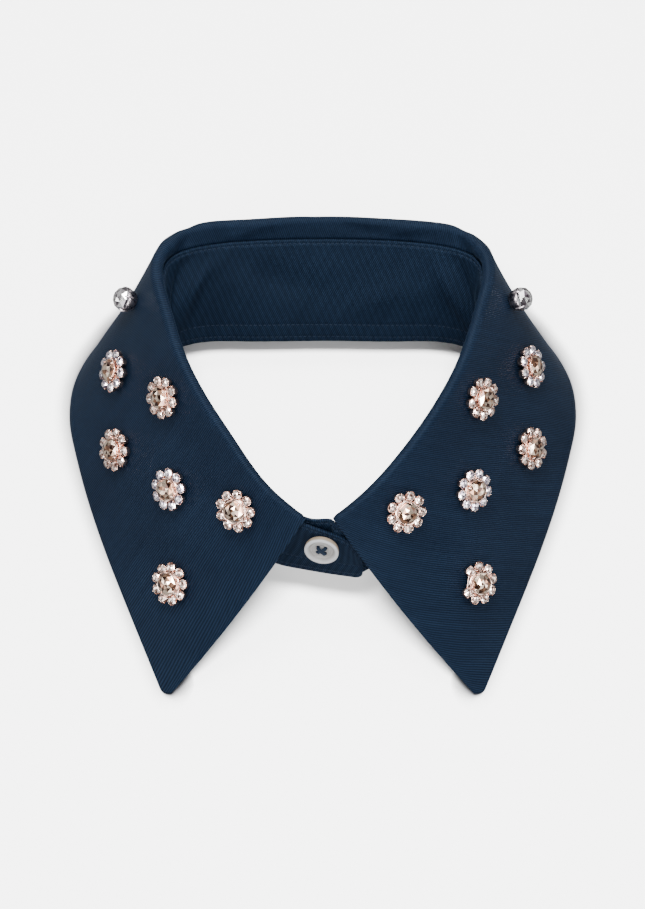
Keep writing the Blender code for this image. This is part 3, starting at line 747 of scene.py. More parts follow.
def stand_column(along, first, last):
    """One column: the middle of the band's wall, which way it faces, and its distances from the edges."""
    (top,), (foot,) = stand_at(along)
    ahead, behind = stand_at(along + BESIDE), stand_at(along - BESIDE)
    height = np.linalg.norm(top - foot)
    distance = min(along - first, last - along)
    drop = OVER_END_DROP if along < 0 else UNDER_END_DROP
    slope = drop * max(0.0, 1.0 - distance / END_SLOPE_LENGTH)
    start = slope + corner_trim(distance, END_TOP_RADIUS)
    stop = height - corner_trim(distance, END_FOOT_RADIUS)
    down = start + row_distances(stop - start)
    t = (down / height)[:, None]
    lengthways = (ahead[0] - behind[0]) * (1 - t) + (ahead[1] - behind[1]) * t
    return top * (1 - t) + foot * t, unit(np.cross(top - foot, lengthways)), down, down - start, stop - down


def stand_columns():
    """Where the stand's columns are: close together round the corners of both ends."""
    first, last = -HALF - OVER_LAP[-1].on, HALF + UNDER_LAP[-1].on
    ends = []
    for near, far in zip(END_COLUMNS[:-1], END_COLUMNS[1:]):
        ends += [near, near + (far - near) / 3, near + (far - near) * 2 / 3]
    ends = np.array([RIM] + [end for end in ends if end > RIM])
    count = round((last - first) / COLUMN_SPACE)
    middle = np.linspace(first + END_COLUMNS[-1], last - END_COLUMNS[-1], count)
    return np.concatenate([first + ends, middle, last - ends[::-1]]), first, last


stand_along, stand_first, stand_last = stand_columns()
columns_of_stand = [stand_column(s, stand_first, stand_last) for s in stand_along]
stand_middle, stand_faces, stand_down, from_top, from_foot = (
    np.array([column[k] for column in columns_of_stand]) for k in range(5)
)
stand_flat = flat_places(stand_middle, 0)
stand_weave = weave_places(stand_middle, stand_along, stand_down)
print("stand:", stand_middle.shape[:2], (np.ptp(stand_flat.reshape(-1, 2), axis=0) / MM).round(0), "mm flat")

# %% The stand's piece
STAND_FOLDS = [
    Fold(-52, 9.0, 118, 12.0, 2.6, 1.3),
    Fold(-46, 15.0, 125, 11.0, 2.8, -1.3),
    Fold(-60, 19.0, 100, 9.0, 2.6, -0.9),
    Fold(50, 9.0, 62, 12.0, 2.6, 1.3),
    Fold(45, 16.0, 56, 11.0, 2.8, -1.2),
    Fold(60, 16.0, 84, 10.0, 2.6, -0.9),
    Fold(-14, 14.0, 20, 18.0, 5.0, 0.6),
    Fold(20, 20.0, 160, 16.0, 5.0, -0.6),
    Fold(-96, 12.0, 70, 12.0, 4.0, 0.35),
    Fold(-130, 10.0, 110, 9.0, 4.0, -0.3),
    Fold(98, 12.0, 112, 12.0, 4.0, 0.35),
    Fold(128, 11.0, 70, 9.0, 4.0, -0.3),
]
# The rows of sewing: how far in from which edge, and how deep they draw the face in
StitchRow = namedtuple("StitchRow", "name distances inset sink")
STITCH_ROWS = [
    StitchRow("top", from_top, 1.0, 0.16),
    StitchRow("foot", from_foot, 1.5, 0.16),
    StitchRow("facing", from_foot, 5.8, 0.08),
]
SINK_WIDTH = 0.32
STAND_EDGE = 0.6
EDGE_HOLD = 5.0

stand_bend = folded(STAND_FOLDS, stand_along[:, None], stand_down)
stand_bend *= smooth(np.minimum(from_top, from_foot) / EDGE_HOLD)
# Each row of stitches draws both faces in a little
stand_lift = STAND_EDGE * edge_profile(np.minimum(from_top, from_foot)) + STAND_WALL / 2
for row in STITCH_ROWS:
    stand_lift -= row.sink * bell(row.distances - row.inset, SINK_WIDTH)
stand_outer = stand_middle + stand_faces * (stand_bend + stand_lift)[..., None]
stand_neck = stand_middle + stand_faces * (stand_bend - stand_lift)[..., None]
stand = cloth_shell("stand_cloth", stand_outer, stand_neck, stand_faces, stand_weave)
print("stand:", len(stand.data.polygons), "faces")

# %% [markdown]
# ## Tools for the hard pieces
# Stones, cups, claws and buttons are all turned or cut shapes: rings of points, each joined to the
# next. By hand one would add a circle, extrude it upwards, scale it, perhaps twist it, and go on.
# The helper below does those steps from a short table, one row for each ring.

# %% Rings joined to rings
Ring = namedtuple("Ring", "radius height turn aside", defaults=(0.0, 0.0))


def in_fixed_order(piece):
    """Sort the faces by their points: extruding leaves them in any order, and the facets count them."""
    points = [list(vertex.co) for vertex in piece.data.vertices]
    faces = []
    for face in piece.data.polygons:
        around = list(face.vertices)
        start = around.index(min(around))
        faces.append(around[start:] + around[:start])
    piece.data.clear_geometry()
    piece.data.from_pydata(points, [], sorted(faces))


def chain_of_rings(name, sides, rings, point=None):
    """A closed shape from rings of points, from its foot to its top; point pokes the top up to a tip."""
    bpy.ops.object.select_all(action="DESELECT")
    first = rings[0]
    bpy.ops.mesh.primitive_circle_add(vertices=sides, radius=first.radius * MM, fill_type="NGON")
    piece = bpy.context.object
    piece.name = name
    bpy.ops.object.mode_set(mode="EDIT")
    bpy.ops.mesh.select_all(action="SELECT")
    bpy.ops.transform.translate(value=(first.aside * MM, 0, first.height * MM))
    for below, above in zip(rings[:-1], rings[1:]):
        move = ((above.aside - below.aside) * MM, 0, (above.height - below.height) * MM)
        bpy.ops.mesh.extrude_region_move(TRANSFORM_OT_translate={"value": move})
        scale = above.radius / below.radius
        middle = (above.aside * MM, 0, above.height * MM)
        bpy.ops.transform.resize(value=(scale, scale, 1), center_override=middle)
        if above.turn != below.turn:
            angle = math.radians(above.turn - below.turn)
            bpy.ops.transform.rotate(value=angle, orient_axis="Z", center_override=middle)
    if point:
        bpy.ops.mesh.poke(offset=point * MM)
    bpy.ops.mesh.select_all(action="SELECT")
    bpy.ops.mesh.normals_make_consistent(inside=False)
    bpy.ops.object.mode_set(mode="OBJECT")
    in_fixed_order(piece)
    return piece


def smoothed(piece, degrees):
    """Shade smooth all but the edges that are sharper than this."""
    pick(piece)
    bpy.ops.object.shade_smooth_by_angle(angle=math.radians(degrees))
    print(piece.name, len(piece.data.polygons), "faces")
    return piece


def gathered(name, parts):
    """One piece from placed copies of others; a part is a model and where it goes."""
    copies = []
    for model, place in parts:
        copies.append(new_object(name, model.data.copy()))
        copies[-1].data.transform(place)
    pick(*copies)
    bpy.ops.object.join()
    copies[0].name = name
    return copies[0]


def put_away(*models):
    """Remove the models once their copies are placed."""
    for model in models:
        bpy.data.objects.remove(model)


def spun(angle):
    return Matrix.Rotation(angle, 4, "Z")


def shifted(x, y, z):
    return Matrix.Translation((x * MM, y * MM, z * MM))


def seated(point, side, out):
    """Where a piece sits: its middle at the point, its X to the side and its Z outwards."""
    basis = Matrix((side, np.cross(out, side), out)).transposed().to_4x4()
    return shifted(*(point + MOVE)) @ basis


# %% [markdown]
# ## The stones
# Each flower has a foiled champagne stone in the middle and nine small ones round it. A cut stone is
# a chain of rings, each twisted half a facet past the one below, so its faces are triangles. The
# foil behind a real stone throws light back unevenly; here every facet is painted a brightness of its
# own, a painted reflection kept in an attribute that the crystal finish reads.

# %% A cut stone
SMALL_STONE = [
    Ring(1.2, 1.4), Ring(1.72, 2.0), Ring(1.72, 2.2), Ring(1.25, 2.72, 25.7), Ring(0.75, 2.92, 51.4),
]
LARGE_STONE = [Ring(2.7, 2.6), Ring(3.66, 3.5), Ring(3.7, 3.7), Ring(2.75, 4.45, 22.5), Ring(1.5, 4.9, 45)]
DOME_STONE = [Ring(3.2, 2.9), Ring(3.85, 3.7), Ring(4.0, 4.5), Ring(3.3, 6.1, 22.5), Ring(1.9, 7.1, 45)]
FACET_STEP = 2.399


def cut_stone(name, sides, rings, point):
    """A twisted chain of rings, its four-sided faces split into flat three-sided facets."""
    stone = chain_of_rings(name, sides, rings, point)
    bpy.ops.object.mode_set(mode="EDIT")
    bpy.ops.mesh.select_all(action="SELECT")
    bpy.ops.mesh.quads_convert_to_tris(quad_method="SHORTEST_DIAGONAL", ngon_method="BEAUTY")
    bpy.ops.object.mode_set(mode="OBJECT")
    print(name, len(stone.data.polygons), "facets")
    return stone


def paint_facet_reflections(piece, start):
    """Paint each facet a brightness of its own, a painted reflection, from a count that never repeats in step.
    """
    facets = piece.data.attributes.new("facet", "FLOAT", "FACE")
    count = len(piece.data.polygons)
    values = [0.5 + 0.5 * math.sin(FACET_STEP * (k + start) * (1 + (k % 3))) for k in range(count)]
    facets.data.foreach_set("value", values)


small_stone = cut_stone("small_stone", 7, SMALL_STONE, 0.06)
large_stone = cut_stone("large_stone", 8, LARGE_STONE, 0.06)
dome_stone = cut_stone("dome_stone", 8, DOME_STONE, 0.25)

# %% [markdown]
# ## Cups and claws
# The metal round a stone is a thin cup with a rolled lip and a few claws bent over the girdle. One
# small cup with its claws is modelled, then copied nine times round the middle cup, and short bars
# join them behind, with gaps through which the cloth shows.

# %% One cup of each size
SMALL_CUP = [
    Ring(0.85, 0.0), Ring(1.3, 0.15), Ring(1.7, 1.4), Ring(1.84, 1.95), Ring(1.80, 2.08), Ring(1.7, 2.0),
]
LARGE_CUP = [
    Ring(2.2, 0.2), Ring(3.3, 0.6), Ring(4.15, 1.7), Ring(4.1, 1.9), Ring(3.62, 2.1), Ring(3.66, 2.9),
    Ring(3.96, 3.4), Ring(3.9, 3.56), Ring(3.72, 3.5),
]
DOME_CUP = [
    Ring(2.4, 0.0), Ring(3.2, 0.8), Ring(3.75, 2.2), Ring(4.05, 3.3), Ring(3.92, 3.62), Ring(3.62, 3.55),
]
SMALL_CLAW = [
    Ring(0.18, 1.1, 0, 1.76), Ring(0.2, 2.0, 0, 1.82), Ring(0.18, 2.35, 0, 1.66), Ring(0.1, 2.55, 0, 1.42),
]
LARGE_CLAW = [
    Ring(0.2, 2.6, 0, 3.5), Ring(0.22, 3.5, 0, 3.88), Ring(0.2, 3.95, 0, 3.66), Ring(0.1, 4.2, 0, 3.35),
]
DOME_CLAW = [
    Ring(0.34, 2.0, 0, 3.8), Ring(0.38, 3.6, 0, 4.0), Ring(0.34, 4.5, 0, 3.82), Ring(0.18, 5.1, 0, 3.45),
]
CLAWS = 4
CLAW_SIDES, CLAW_TIP = 6, 0.05


def cup_with_claws(name, sides, cup_rings, claw_rings, start):
    cup = chain_of_rings(name + "_cup", sides, cup_rings)
    claw = chain_of_rings(name + "_claw", CLAW_SIDES, claw_rings, CLAW_TIP)
    claws = [(claw, spun(start + math.tau * k / CLAWS)) for k in range(CLAWS)]
    whole = gathered(name, [(cup, Matrix.Identity(4))] + claws)
    put_away(cup, claw)
    return smoothed(whole, 40)


small_cup = cup_with_claws("small_cup", 12, SMALL_CUP, SMALL_CLAW, math.pi / 4)
large_cup = cup_with_claws("large_cup", 20, LARGE_CUP, LARGE_CLAW, 0.0)
dome_cup = cup_with_claws("dome_cup", 24, DOME_CUP, DOME_CLAW, math.pi / 4)

# %% [markdown]
# ## The flowers
# A flower is cast in one piece with its cups and sewn on through its back, so it moves as one. Nine
# places stand round the middle cup. One flower has lost a stone, and a thin bar bridges its place.

# %% One flower
RING_PLACES = 9
PETAL_RING = 5.5
SPOKE_FROM, SPOKE_HEIGHT = 1.8, 0.75
LINK_RING, LINK_HEIGHT = 4.3, 1.3
STONE_TURN = 0.7
SPOKE = [Ring(0.3, 0.0), Ring(0.42, 0.5), Ring(0.42, 2.4), Ring(0.3, 3.0)]
LINK_BAR = [Ring(0.12, -2.1), Ring(0.2, -1.8), Ring(0.2, 1.8), Ring(0.12, 2.1)]
along_arm, across_arm = (Matrix.Rotation(math.pi / 2, 4, axis) for axis in "YX")

spoke = chain_of_rings("spoke", 6, SPOKE)
link_bar = chain_of_rings("link_bar", 6, LINK_BAR)


def flower(places):
    """The metal of a flower with this many small stones, and the small stones themselves."""
    metal, stones = [(large_cup, Matrix.Identity(4))], []
    for k in range(RING_PLACES):
        arm = spun(math.tau * k / RING_PLACES)
        if k < places:
            petal = arm @ shifted(PETAL_RING, 0, 0)
            metal.append((spoke, arm @ shifted(SPOKE_FROM, 0, SPOKE_HEIGHT) @ along_arm))
            metal.append((small_cup, petal))
            stones.append((small_stone, petal @ spun(STONE_TURN * k)))
        else:
            metal.append((link_bar, arm @ shifted(LINK_RING, 0, LINK_HEIGHT) @ across_arm))
    return gathered("flower_metal", metal), gathered("flower_stones", stones)


models = {places: flower(places) for places in (9, 8)}
print("a flower has", sum(len(part.data.polygons) for part in (*models[9], large_stone)), "faces")

# %% Where a jewel sits
Flower = namedtuple("Flower", "along down turn colour places")
FLOWERS = [
    Flower(-85.5, 32.5, 10, "lilac", 9),
    Flower(-107.5, 13.0, 4, "rose", 9),
    Flower(-110.5, 44.0, 16, "rose", 9),
    Flower(-133.0, 30.5, 22, "lilac", 9),
    Flower(-152.0, 13.0, 8, "rose", 9),
    Flower(-154.5, 50.0, 12, "rose", 9),
    Flower(84.5, 31.5, 26, "lilac", 9),
    Flower(108.0, 13.0, 14, "rose", 9),
    Flower(110.0, 44.0, 2, "rose", 9),
    Flower(133.5, 30.0, 18, "lilac", 9),
    Flower(152.0, 14.0, 30, "rose", 9),
    Flower(153.5, 52.5, 160, "rose", 8),
]
SHOULDER_STONES = [(-69.5, 15.0), (69.5, 15.0)]
JEWEL_GAP = 0.3
FLOWER_REACH = 5.3
SHOULDER_REACH = 2.6


def cloth_point(along, down):
    """The point on the fall's right side this far along the roll and down from its top."""
    points = fall_column(along, 1.0, LEAF_ROWS)[0]
    line = points[int(np.argmax(points[:, 2])) :]
    return read_line(down, run_length(line), line)


def cloth_placing(along, down, turn, reach):
    """Where a jewel sits: Z out of the cloth, clear of it by the jewel gap all over its reach."""
    centre = cloth_point(along, down)
    lengthways = unit(cloth_point(along + 1.0, down) - cloth_point(along - 1.0, down))
    downwards = unit(cloth_point(along, down + 1.0) - cloth_point(along, down - 1.0))
    normal = unit(np.cross(lengthways, downwards))
    around = [math.tau * k / 8 for k in range(8)]
    near = [cloth_point(along + reach * math.cos(a), down + reach * math.sin(a)) for a in around]
    rise = max(0.0, max((point - centre) @ normal for point in near))
    side = unit(np.cross(normal, downwards))
    return seated(centre + normal * (rise + JEWEL_GAP), side, normal) @ spun(math.radians(turn))


def miss(piece, node):
    """How far a piece's middle lies from its solid's, in millimetres."""
    low, high = (Vector(corner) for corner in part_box(node))
    points = [vertex.co for vertex in piece.data.vertices]
    middle = [(min(p[k] for p in points) + max(p[k] for p in points)) / 2 for k in range(3)]
    return round((Vector(middle) - (low + high) / 2).length / MM, 2)


def carried(piece, node):
    """Every piece rides on the collar's one body and stands for its own solid."""
    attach(piece, "root")
    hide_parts(node)


# %% All the flowers and both shoulder stones
# Each jewel is turned a little further than the last one, and its facets start later in their count
CENTRE_TURN, SHOULDER_TURN, DOME_TURN = 0.9, 20, 0.5
PETAL_START, CENTRE_START, DOME_START = 11, 7, 5
jewel_pieces = []


def add_jewel(name, model, place, node, look, facets_from=None):
    """Place one model as a piece, and remember which look it gets."""
    piece = gathered(name, [(model, place)])
    if facets_from is not None:
        paint_facet_reflections(piece, facets_from)
    carried(piece, node)
    jewel_pieces.append((piece, look))
    return piece


for number, row in enumerate(FLOWERS, 1):
    place = cloth_placing(row.along, row.down, row.turn, FLOWER_REACH)
    name = f"jewel_{number:02}"
    setting, slot = name + "_setting", row.colour + "_petals"
    metal, stones = models[row.places]
    piece = add_jewel(name + "_cups", metal, place, setting, "rose_gold")
    add_jewel(name + "_petals", stones, place, setting, row.colour, PETAL_START * number)
    centre, stone, start = place @ spun(CENTRE_TURN * number), name + "_stone", CENTRE_START * number
    add_jewel(name + "_centre", large_stone, centre, stone, "champagne", start)
    print(name, "off its solid by", miss(piece, setting), "mm")

for number, (along, down) in enumerate(SHOULDER_STONES, 1):
    place = cloth_placing(along, down, SHOULDER_TURN * number, SHOULDER_REACH)
    name = f"shoulder_{number:02}"
    setting = name + "_setting"
    piece = add_jewel(name + "_cup", dome_cup, place, setting, "dark_silver")
    dome, start = place @ spun(DOME_TURN * number), DOME_START * number
    add_jewel(name + "_dome", dome_stone, dome, name + "_stone", "clear", start)
    print(name, "off its solid by", miss(piece, setting), "mm")

for pair in models.values():
    put_away(*pair)
put_away(small_cup, large_cup, dome_cup, small_stone, large_stone, dome_stone, spoke, link_bar)

# %% [markdown]
# ## The button
# A pearl shirt button is turned on a lathe: a raised rim, a dished face with fine turned rings, and
# four holes. The rings below give that profile, and a Boolean takes out the holes. Two thick loops
# of thread cross over it, one through each pair of opposite holes.

# %% The button's disc
BUTTON_RINGS = [
    Ring(4.0, 0.0), Ring(5.0, 0.1), Ring(5.55, 0.5), Ring(5.75, 1.1), Ring(5.8, 1.9), Ring(5.68, 2.3),
    Ring(5.4, 2.52), Ring(5.05, 2.58), Ring(4.7, 2.5), Ring(4.45, 2.25), Ring(4.25, 1.8), Ring(4.05, 1.55),
    Ring(3.85, 1.5), Ring(3.6, 1.62), Ring(3.35, 1.64), Ring(3.2, 1.5), Ring(3.05, 1.5), Ring(2.9, 1.62),
    Ring(2.6, 1.62), Ring(2.4, 1.5), Ring(1.5, 1.45), Ring(0.5, 1.44),
]
HOLE_RADIUS, HOLE_SPREAD = 0.75, 1.25
HOLE_RINGS = [Ring(HOLE_RADIUS, -1.0), Ring(HOLE_RADIUS, 1.5), Ring(HOLE_RADIUS + 0.3, 2.1)]
# How light the face is painted at each radius: the rim is bright, a painted highlight, the dish and its
# grooves are greyer, painted shade, and the side, below and outside the rim, is set darkest
BUTTON_PAINTED_LIGHT = [
    (0.0, 0.55), (2.3, 0.5), (2.5, 0.42), (2.8, 0.58), (3.1, 0.42),
    (3.5, 0.6), (3.9, 0.34), (4.4, 0.7), (5.0, 1.0), (5.6, 0.9),
]
SIDE_TONE, SIDE_BELOW, SIDE_OUTSIDE = 0.1, 2.2, 5.0
hole_places = [(x * HOLE_SPREAD, y * HOLE_SPREAD) for x, y in ((1, 1), (-1, 1), (-1, -1), (1, -1))]

button = chain_of_rings("button", 64, BUTTON_RINGS)
hole = chain_of_rings("hole", 24, HOLE_RINGS)
holes = gathered("holes", [(hole, shifted(x, y, 0)) for x, y in hole_places])
pick(button)
cutter = button.modifiers.new("holes", "BOOLEAN")
cutter.operation, cutter.solver, cutter.object = "DIFFERENCE", "EXACT", holes
bpy.ops.object.modifier_apply(modifier="holes")
smoothed(button, 35)
put_away(hole, holes)
corners = button.data.vertices
radius = [math.hypot(corner.co.x, corner.co.y) / MM for corner in corners]
# Painted highlight on the rim and painted shade in the dish and grooves, by radius
tone = np.interp(radius, *np.array(BUTTON_PAINTED_LIGHT).T)
tone[[corner.co.z < SIDE_BELOW * MM and r > SIDE_OUTSIDE for corner, r in zip(corners, radius)]] = SIDE_TONE
button.data.attributes.new("tone", "FLOAT", "POINT").data.foreach_set("value", tone)

# %% Where the button sits
BUTTON_ALONG = 14.0
BUTTON_DOWN = 0.38
BUTTON_GAP = 0.3


def button_placing():
    """Where the button sits on the over end: Z out of the cloth, X along the band."""
    along = -HALF - OVER_LAP[-1].on + BUTTON_ALONG
    top, foot = (points[0] for points in stand_at(along))
    ahead, behind = stand_at(along + 1.0), stand_at(along - 1.0)
    lengthways = unit(ahead[0][0] + ahead[1][0] - behind[0][0] - behind[1][0])
    centre = top * (1 - BUTTON_DOWN) + foot * BUTTON_DOWN
    normal = unit(np.cross(top - foot, lengthways))
    return seated(centre + normal * (0.5 * STAND_WALL + BUTTON_GAP), lengthways, normal)


button.data.transform(button_placing())
carried(button, "front_button")
print("button off its solid by", miss(button, "front_button"), "mm")

# %% The thread
# Two loops cross, one above the other; each is two courses side by side, of three strands twisted
STRAND_RADIUS = 0.24
STRAND_TWIST = 0.15
STRAND_TURNS = 2.2
STRAND_STEPS = 36
LOOP_SIDE, LOOP_STEP, LOOP_BOW = 0.27, 0.3, 0.34
THREAD_FOOT, THREAD_RISE = 0.15, 1.95
# A strand leaves its hole steeply, and crosses over in the middle share of its length
STEEP, ROUNDED = 2.6, 0.6
CROSS_FROM, CROSS_SHARE = 0.16, 0.68


def strand(first, last, side, height, phase):
    """The points of one strand that winds about a loop: up a hole, across and down the other."""
    first, last = Vector((*first, 0)), Vector((*last, 0))
    across = Vector((last.y - first.y, first.x - last.x, 0)).normalized()
    points = []
    for k in range(STRAND_STEPS + 1):
        t = k / STRAND_STEPS
        arch = math.sin(math.pi * t)
        rise = min(1.0, arch * STEEP) ** ROUNDED
        angle = math.tau * STRAND_TURNS * t + phase
        middle = first.lerp(last, min(1, max(0, (t - CROSS_FROM) / CROSS_SHARE)))
        lift = THREAD_FOOT + (height - THREAD_FOOT) * rise + LOOP_BOW * (arch - 1)
        out = Vector((0, 0, lift + STRAND_TWIST * math.sin(angle)))
        points.append(middle + across * (side + STRAND_TWIST * math.cos(angle)) + out)
    return points


def thread_tube(name, courses):
    """Each course of points becomes a round thread, in one mesh."""
    curve = bpy.data.curves.new(name, "CURVE")
    curve.dimensions = "3D"
    curve.bevel_depth, curve.bevel_resolution, curve.use_fill_caps = STRAND_RADIUS * MM, 2, True
    for course in courses:
        line = curve.splines.new("POLY")
        line.points.add(len(course) - 1)
        for place, point in zip(line.points, course):
            place.co = (*(point * MM), 1.0)
    pick(new_object(name, curve))
    bpy.ops.object.convert(target="MESH")
    bpy.ops.object.shade_smooth()
    return bpy.context.object


thread = thread_tube("button_cross", [
    strand(hole_places[pair], hole_places[pair + 2], side, THREAD_RISE + LOOP_STEP * pair, math.tau * k / 3)
    for pair in range(2) for side in (-LOOP_SIDE, LOOP_SIDE) for k in range(3)
])
thread.data.transform(button_placing())
carried(thread, "button_thread")
print("thread", len(thread.data.polygons), "faces")

# %% [markdown]
# ## The stitches
# The band is edge-stitched on both faces: one row just under the seam, one above its foot, and the
# row that holds the facing. A stitch is one small padded dash. It is modelled once and copied along
# each row, sunk a little at both ends.

# %% One stitch and its rows
STITCH_PITCH = 1.6
STITCH_LIFT = 0.05
# A row of stitches stops where the band is not this much higher than the row's place
ROW_MARGIN = 1.0
STITCH = [
    Ring(0.04, -0.56, 0, -0.14), Ring(0.12, -0.42, 0, -0.03), Ring(0.15, -0.14, 0, 0.02),
    Ring(0.15, 0.14, 0, 0.02), Ring(0.12, 0.42, 0, -0.03), Ring(0.04, 0.56, 0, -0.14),
]
stitch = chain_of_rings("stitch", 6, STITCH)


def strewn(name, model, places):
    """One mesh with a copy of the model at each place."""
    points = np.array([[*vertex.co, 1.0] for vertex in model.data.vertices])
    faces = [list(face.vertices) for face in model.data.polygons]
    every = np.concatenate([points @ np.array(place).T for place in places])[:, :3]
    all_faces = [[index + k * len(points) for index in face] for k in range(len(places)) for face in faces]
    mesh = bpy.data.meshes.new(name)
    mesh.from_pydata(every.tolist(), [], all_faces)
    mesh.polygons.foreach_set("use_smooth", [True] * len(mesh.polygons))
    return new_object(name, mesh)


def stitch_places(skin, sign, distances, inset):
    """Places for stitches on one skin of the stand, this far in from its top or its foot."""
    line, faces = [], []
    for gap, points, normals in zip(distances, skin, stand_faces):
        order = np.argsort(gap)
        if gap.max() >= inset + ROW_MARGIN:
            line.append(read_line(inset, gap[order], points[order]))
            faces.append(read_line(inset, gap[order], normals[order]))
    line, faces = np.array(line), unit(np.array(faces)) * sign
    run = run_length(line)
    places = []
    for where in np.arange(STITCH_PITCH, run[-1] - STITCH_PITCH / 2, STITCH_PITCH):
        here = read_line(where, run, line)
        lengthways = unit(read_line(where + BESIDE, run, line) - here)
        out = unit(read_line(where, run, faces))
        out = unit(out - lengthways * (out @ lengthways))
        places.append(seated(here + out * STITCH_LIFT, out, lengthways))
    return places


stitch_pieces = []
for side, skin, sign in (("neck", stand_neck, -1), ("outer", stand_outer, 1)):
    for row in STITCH_ROWS:
        places = stitch_places(skin, sign, row.distances, row.inset)
        piece = strewn(f"stitches_{side}_{row.name}", stitch, places)
        carried(piece, "collar_stand")
        stitch_pieces.append(piece)
        print(piece.name, len(places), "stitches")
put_away(stitch)

# %% Riding of the cloth
carried(fall, "collar_fall")
carried(stand, "collar_stand")

# %% [markdown]
# ## The twill
# Fine cotton twill has a steep diagonal rib, a yarn's width apart, each rib built of short slanting
# floats. The group below draws it from the weave's own coordinates: ribs, the floats along them, and
# the slow unevenness of the yarn. It puts out a shade, a height and a streak only; the shade is the
# height itself, so the weave's lines carry painted shade in the valleys between the ribs. The soft
# satin light is the shader's own sheen.

# %% The weave as a node group
WAVER_SCALE, WAVER_DEPTH = 70.0, 0.8
STREAK_SCALE = (620.0, 34.0, 1.0)

weave_group = bpy.data.node_groups.new("twill_weave", "ShaderNodeTree")
weave_group.interface.new_socket(name="Place", in_out="INPUT", socket_type="NodeSocketVector")
for title in ("Ribs across", "Ribs up", "Courses across", "Courses up", "Course depth"):
    weave_group.interface.new_socket(name=title, in_out="INPUT", socket_type="NodeSocketFloat")
for title in ("Shade", "Height", "Streak"):
    weave_group.interface.new_socket(name=title, in_out="OUTPUT", socket_type="NodeSocketFloat")
taken, given = weave_group.nodes.new("NodeGroupInput").outputs, weave_group.nodes.new("NodeGroupOutput")

w = Wiring(weave_group)
split = w.add("SeparateXYZ", {0: taken["Place"]}).outputs
waver = w.noise(taken["Place"], WAVER_SCALE, 1.0)


def waves(across, up):
    """Ridges between 0 and 1, so many to the metre across and up, that waver a little."""
    phase = w.math("MULTIPLY", split["X"], taken[across])
    phase = w.math("MULTIPLY_ADD", split["Y"], taken[up], phase)
    phase = w.math("MULTIPLY_ADD", waver, WAVER_DEPTH, phase)
    return w.math("MULTIPLY_ADD", w.math("COSINE", w.math("MULTIPLY", phase, math.tau)), 0.5, 0.5)


ribs, floats = waves("Ribs across", "Ribs up"), waves("Courses across", "Courses up")
kept = w.math("SUBTRACT", 1.0, taken["Course depth"])
height = w.math("MULTIPLY", ribs, w.math("MULTIPLY_ADD", floats, taken["Course depth"], kept))
back_turn = w.math("MULTIPLY", w.math("ARCTAN2", taken["Ribs up"], taken["Ribs across"]), -1.0)
turned = w.add("VectorRotate", {"Vector": taken["Place"], "Angle": back_turn}, rotation_type="Z_AXIS")
streak = w.noise(w.stretch(turned.outputs[0], STREAK_SCALE), 1.0, 3.0, 0.6)
# The shade is the rib height itself: painted shade in the valleys between the ribs
w.fill(given, {"Shade": height, "Height": height, "Streak": streak})
print("twill_weave:", len(weave_group.nodes), "nodes")

# %% The twill material
GROOVE_SHADE_NAVY = (0.0012, 0.0042, 0.0110)
# The same cloth on both pieces: the fall's pale is painted darker, painted shade, and the stand's lighter,
# painted light
FALL_PALE_PAINTED_SHADE, STAND_PALE_PAINTED_LIGHT = (0.0122, 0.0250, 0.0545), (0.0154, 0.0312, 0.0650)
WORN = [(0.3, (0.84, 0.85, 0.87)), (0.7, (1.16, 1.15, 1.13))]
CLOUDED = [(0.35, (0.86, 0.87, 0.89)), (0.65, (1.12, 1.11, 1.10))]
SATIN = {
    "Sheen Weight": 0.06, "Sheen Roughness": 0.35, "Sheen Tint": (0.35, 0.55, 0.85, 1),
    "Specular IOR Level": 0.2, "Specular Tint": (0.45, 0.65, 0.95, 1),
}


def twill_finish(name, ribs, courses, course_depth, pale):
    finish, shader, w = new_finish(name)
    place = w.add("UVMap", uv_map="weave").outputs["UV"]
    weave = w.add("Group", node_tree=weave_group)
    w.fill(weave, {
        "Place": place, "Ribs across": ribs[0], "Ribs up": ribs[1],
        "Courses across": courses[0], "Courses up": courses[1], "Course depth": course_depth,
    })
    streak = weave.outputs["Streak"]
    # The rib height sets the colour: the weave's own lines, with painted shade darkening the valleys between
    # ribs
    depth = w.blend(weave.outputs["Shade"], (*GROOVE_SHADE_NAVY, 1), (*pale, 1))
    shaded = w.blend(1.0, depth, w.ramp(streak, WORN), "MULTIPLY")
    w.fill(shader, {
        "Base Color": w.blend(1.0, shaded, w.ramp(w.noise(place, 38.0, 3.0), CLOUDED), "MULTIPLY"),
        "Roughness": w.math("MULTIPLY_ADD", streak, 0.14, 0.42),
        "Normal": w.bump(weave.outputs["Height"], 0.6, 0.00012),
        **SATIN,
    })
    return finish


fall_twill = twill_finish("navy_twill", (-1456.0, 502.0), (700.0, 900.0), 0.15, FALL_PALE_PAINTED_SHADE)
stand_twill = twill_finish("navy_twill_band", (1390.0, -740.0), (430.0, 182.0), 0.45, STAND_PALE_PAINTED_LIGHT)
fall.data.materials.append(fall_twill)
stand.data.materials.append(stand_twill)
print("twill on", fall.name, "and", stand.name)

# %% Thread
thread_finish, shader, w = new_finish("navy_thread")
fibre = w.noise(w.spot(), 5200.0, 2.0)
w.fill(shader, {
    "Base Color": w.ramp(fibre, [(0.3, (0.005, 0.011, 0.026)), (0.7, (0.020, 0.042, 0.085))]),
    "Roughness": 0.62, "Sheen Weight": 0.05, "Specular IOR Level": 0.25,
    "Normal": w.bump(fibre, 0.4, 0.00004),
})
for piece in stitch_pieces + [thread]:
    piece.data.materials.append(thread_finish)
print("thread on", len(stitch_pieces) + 1, "pieces")
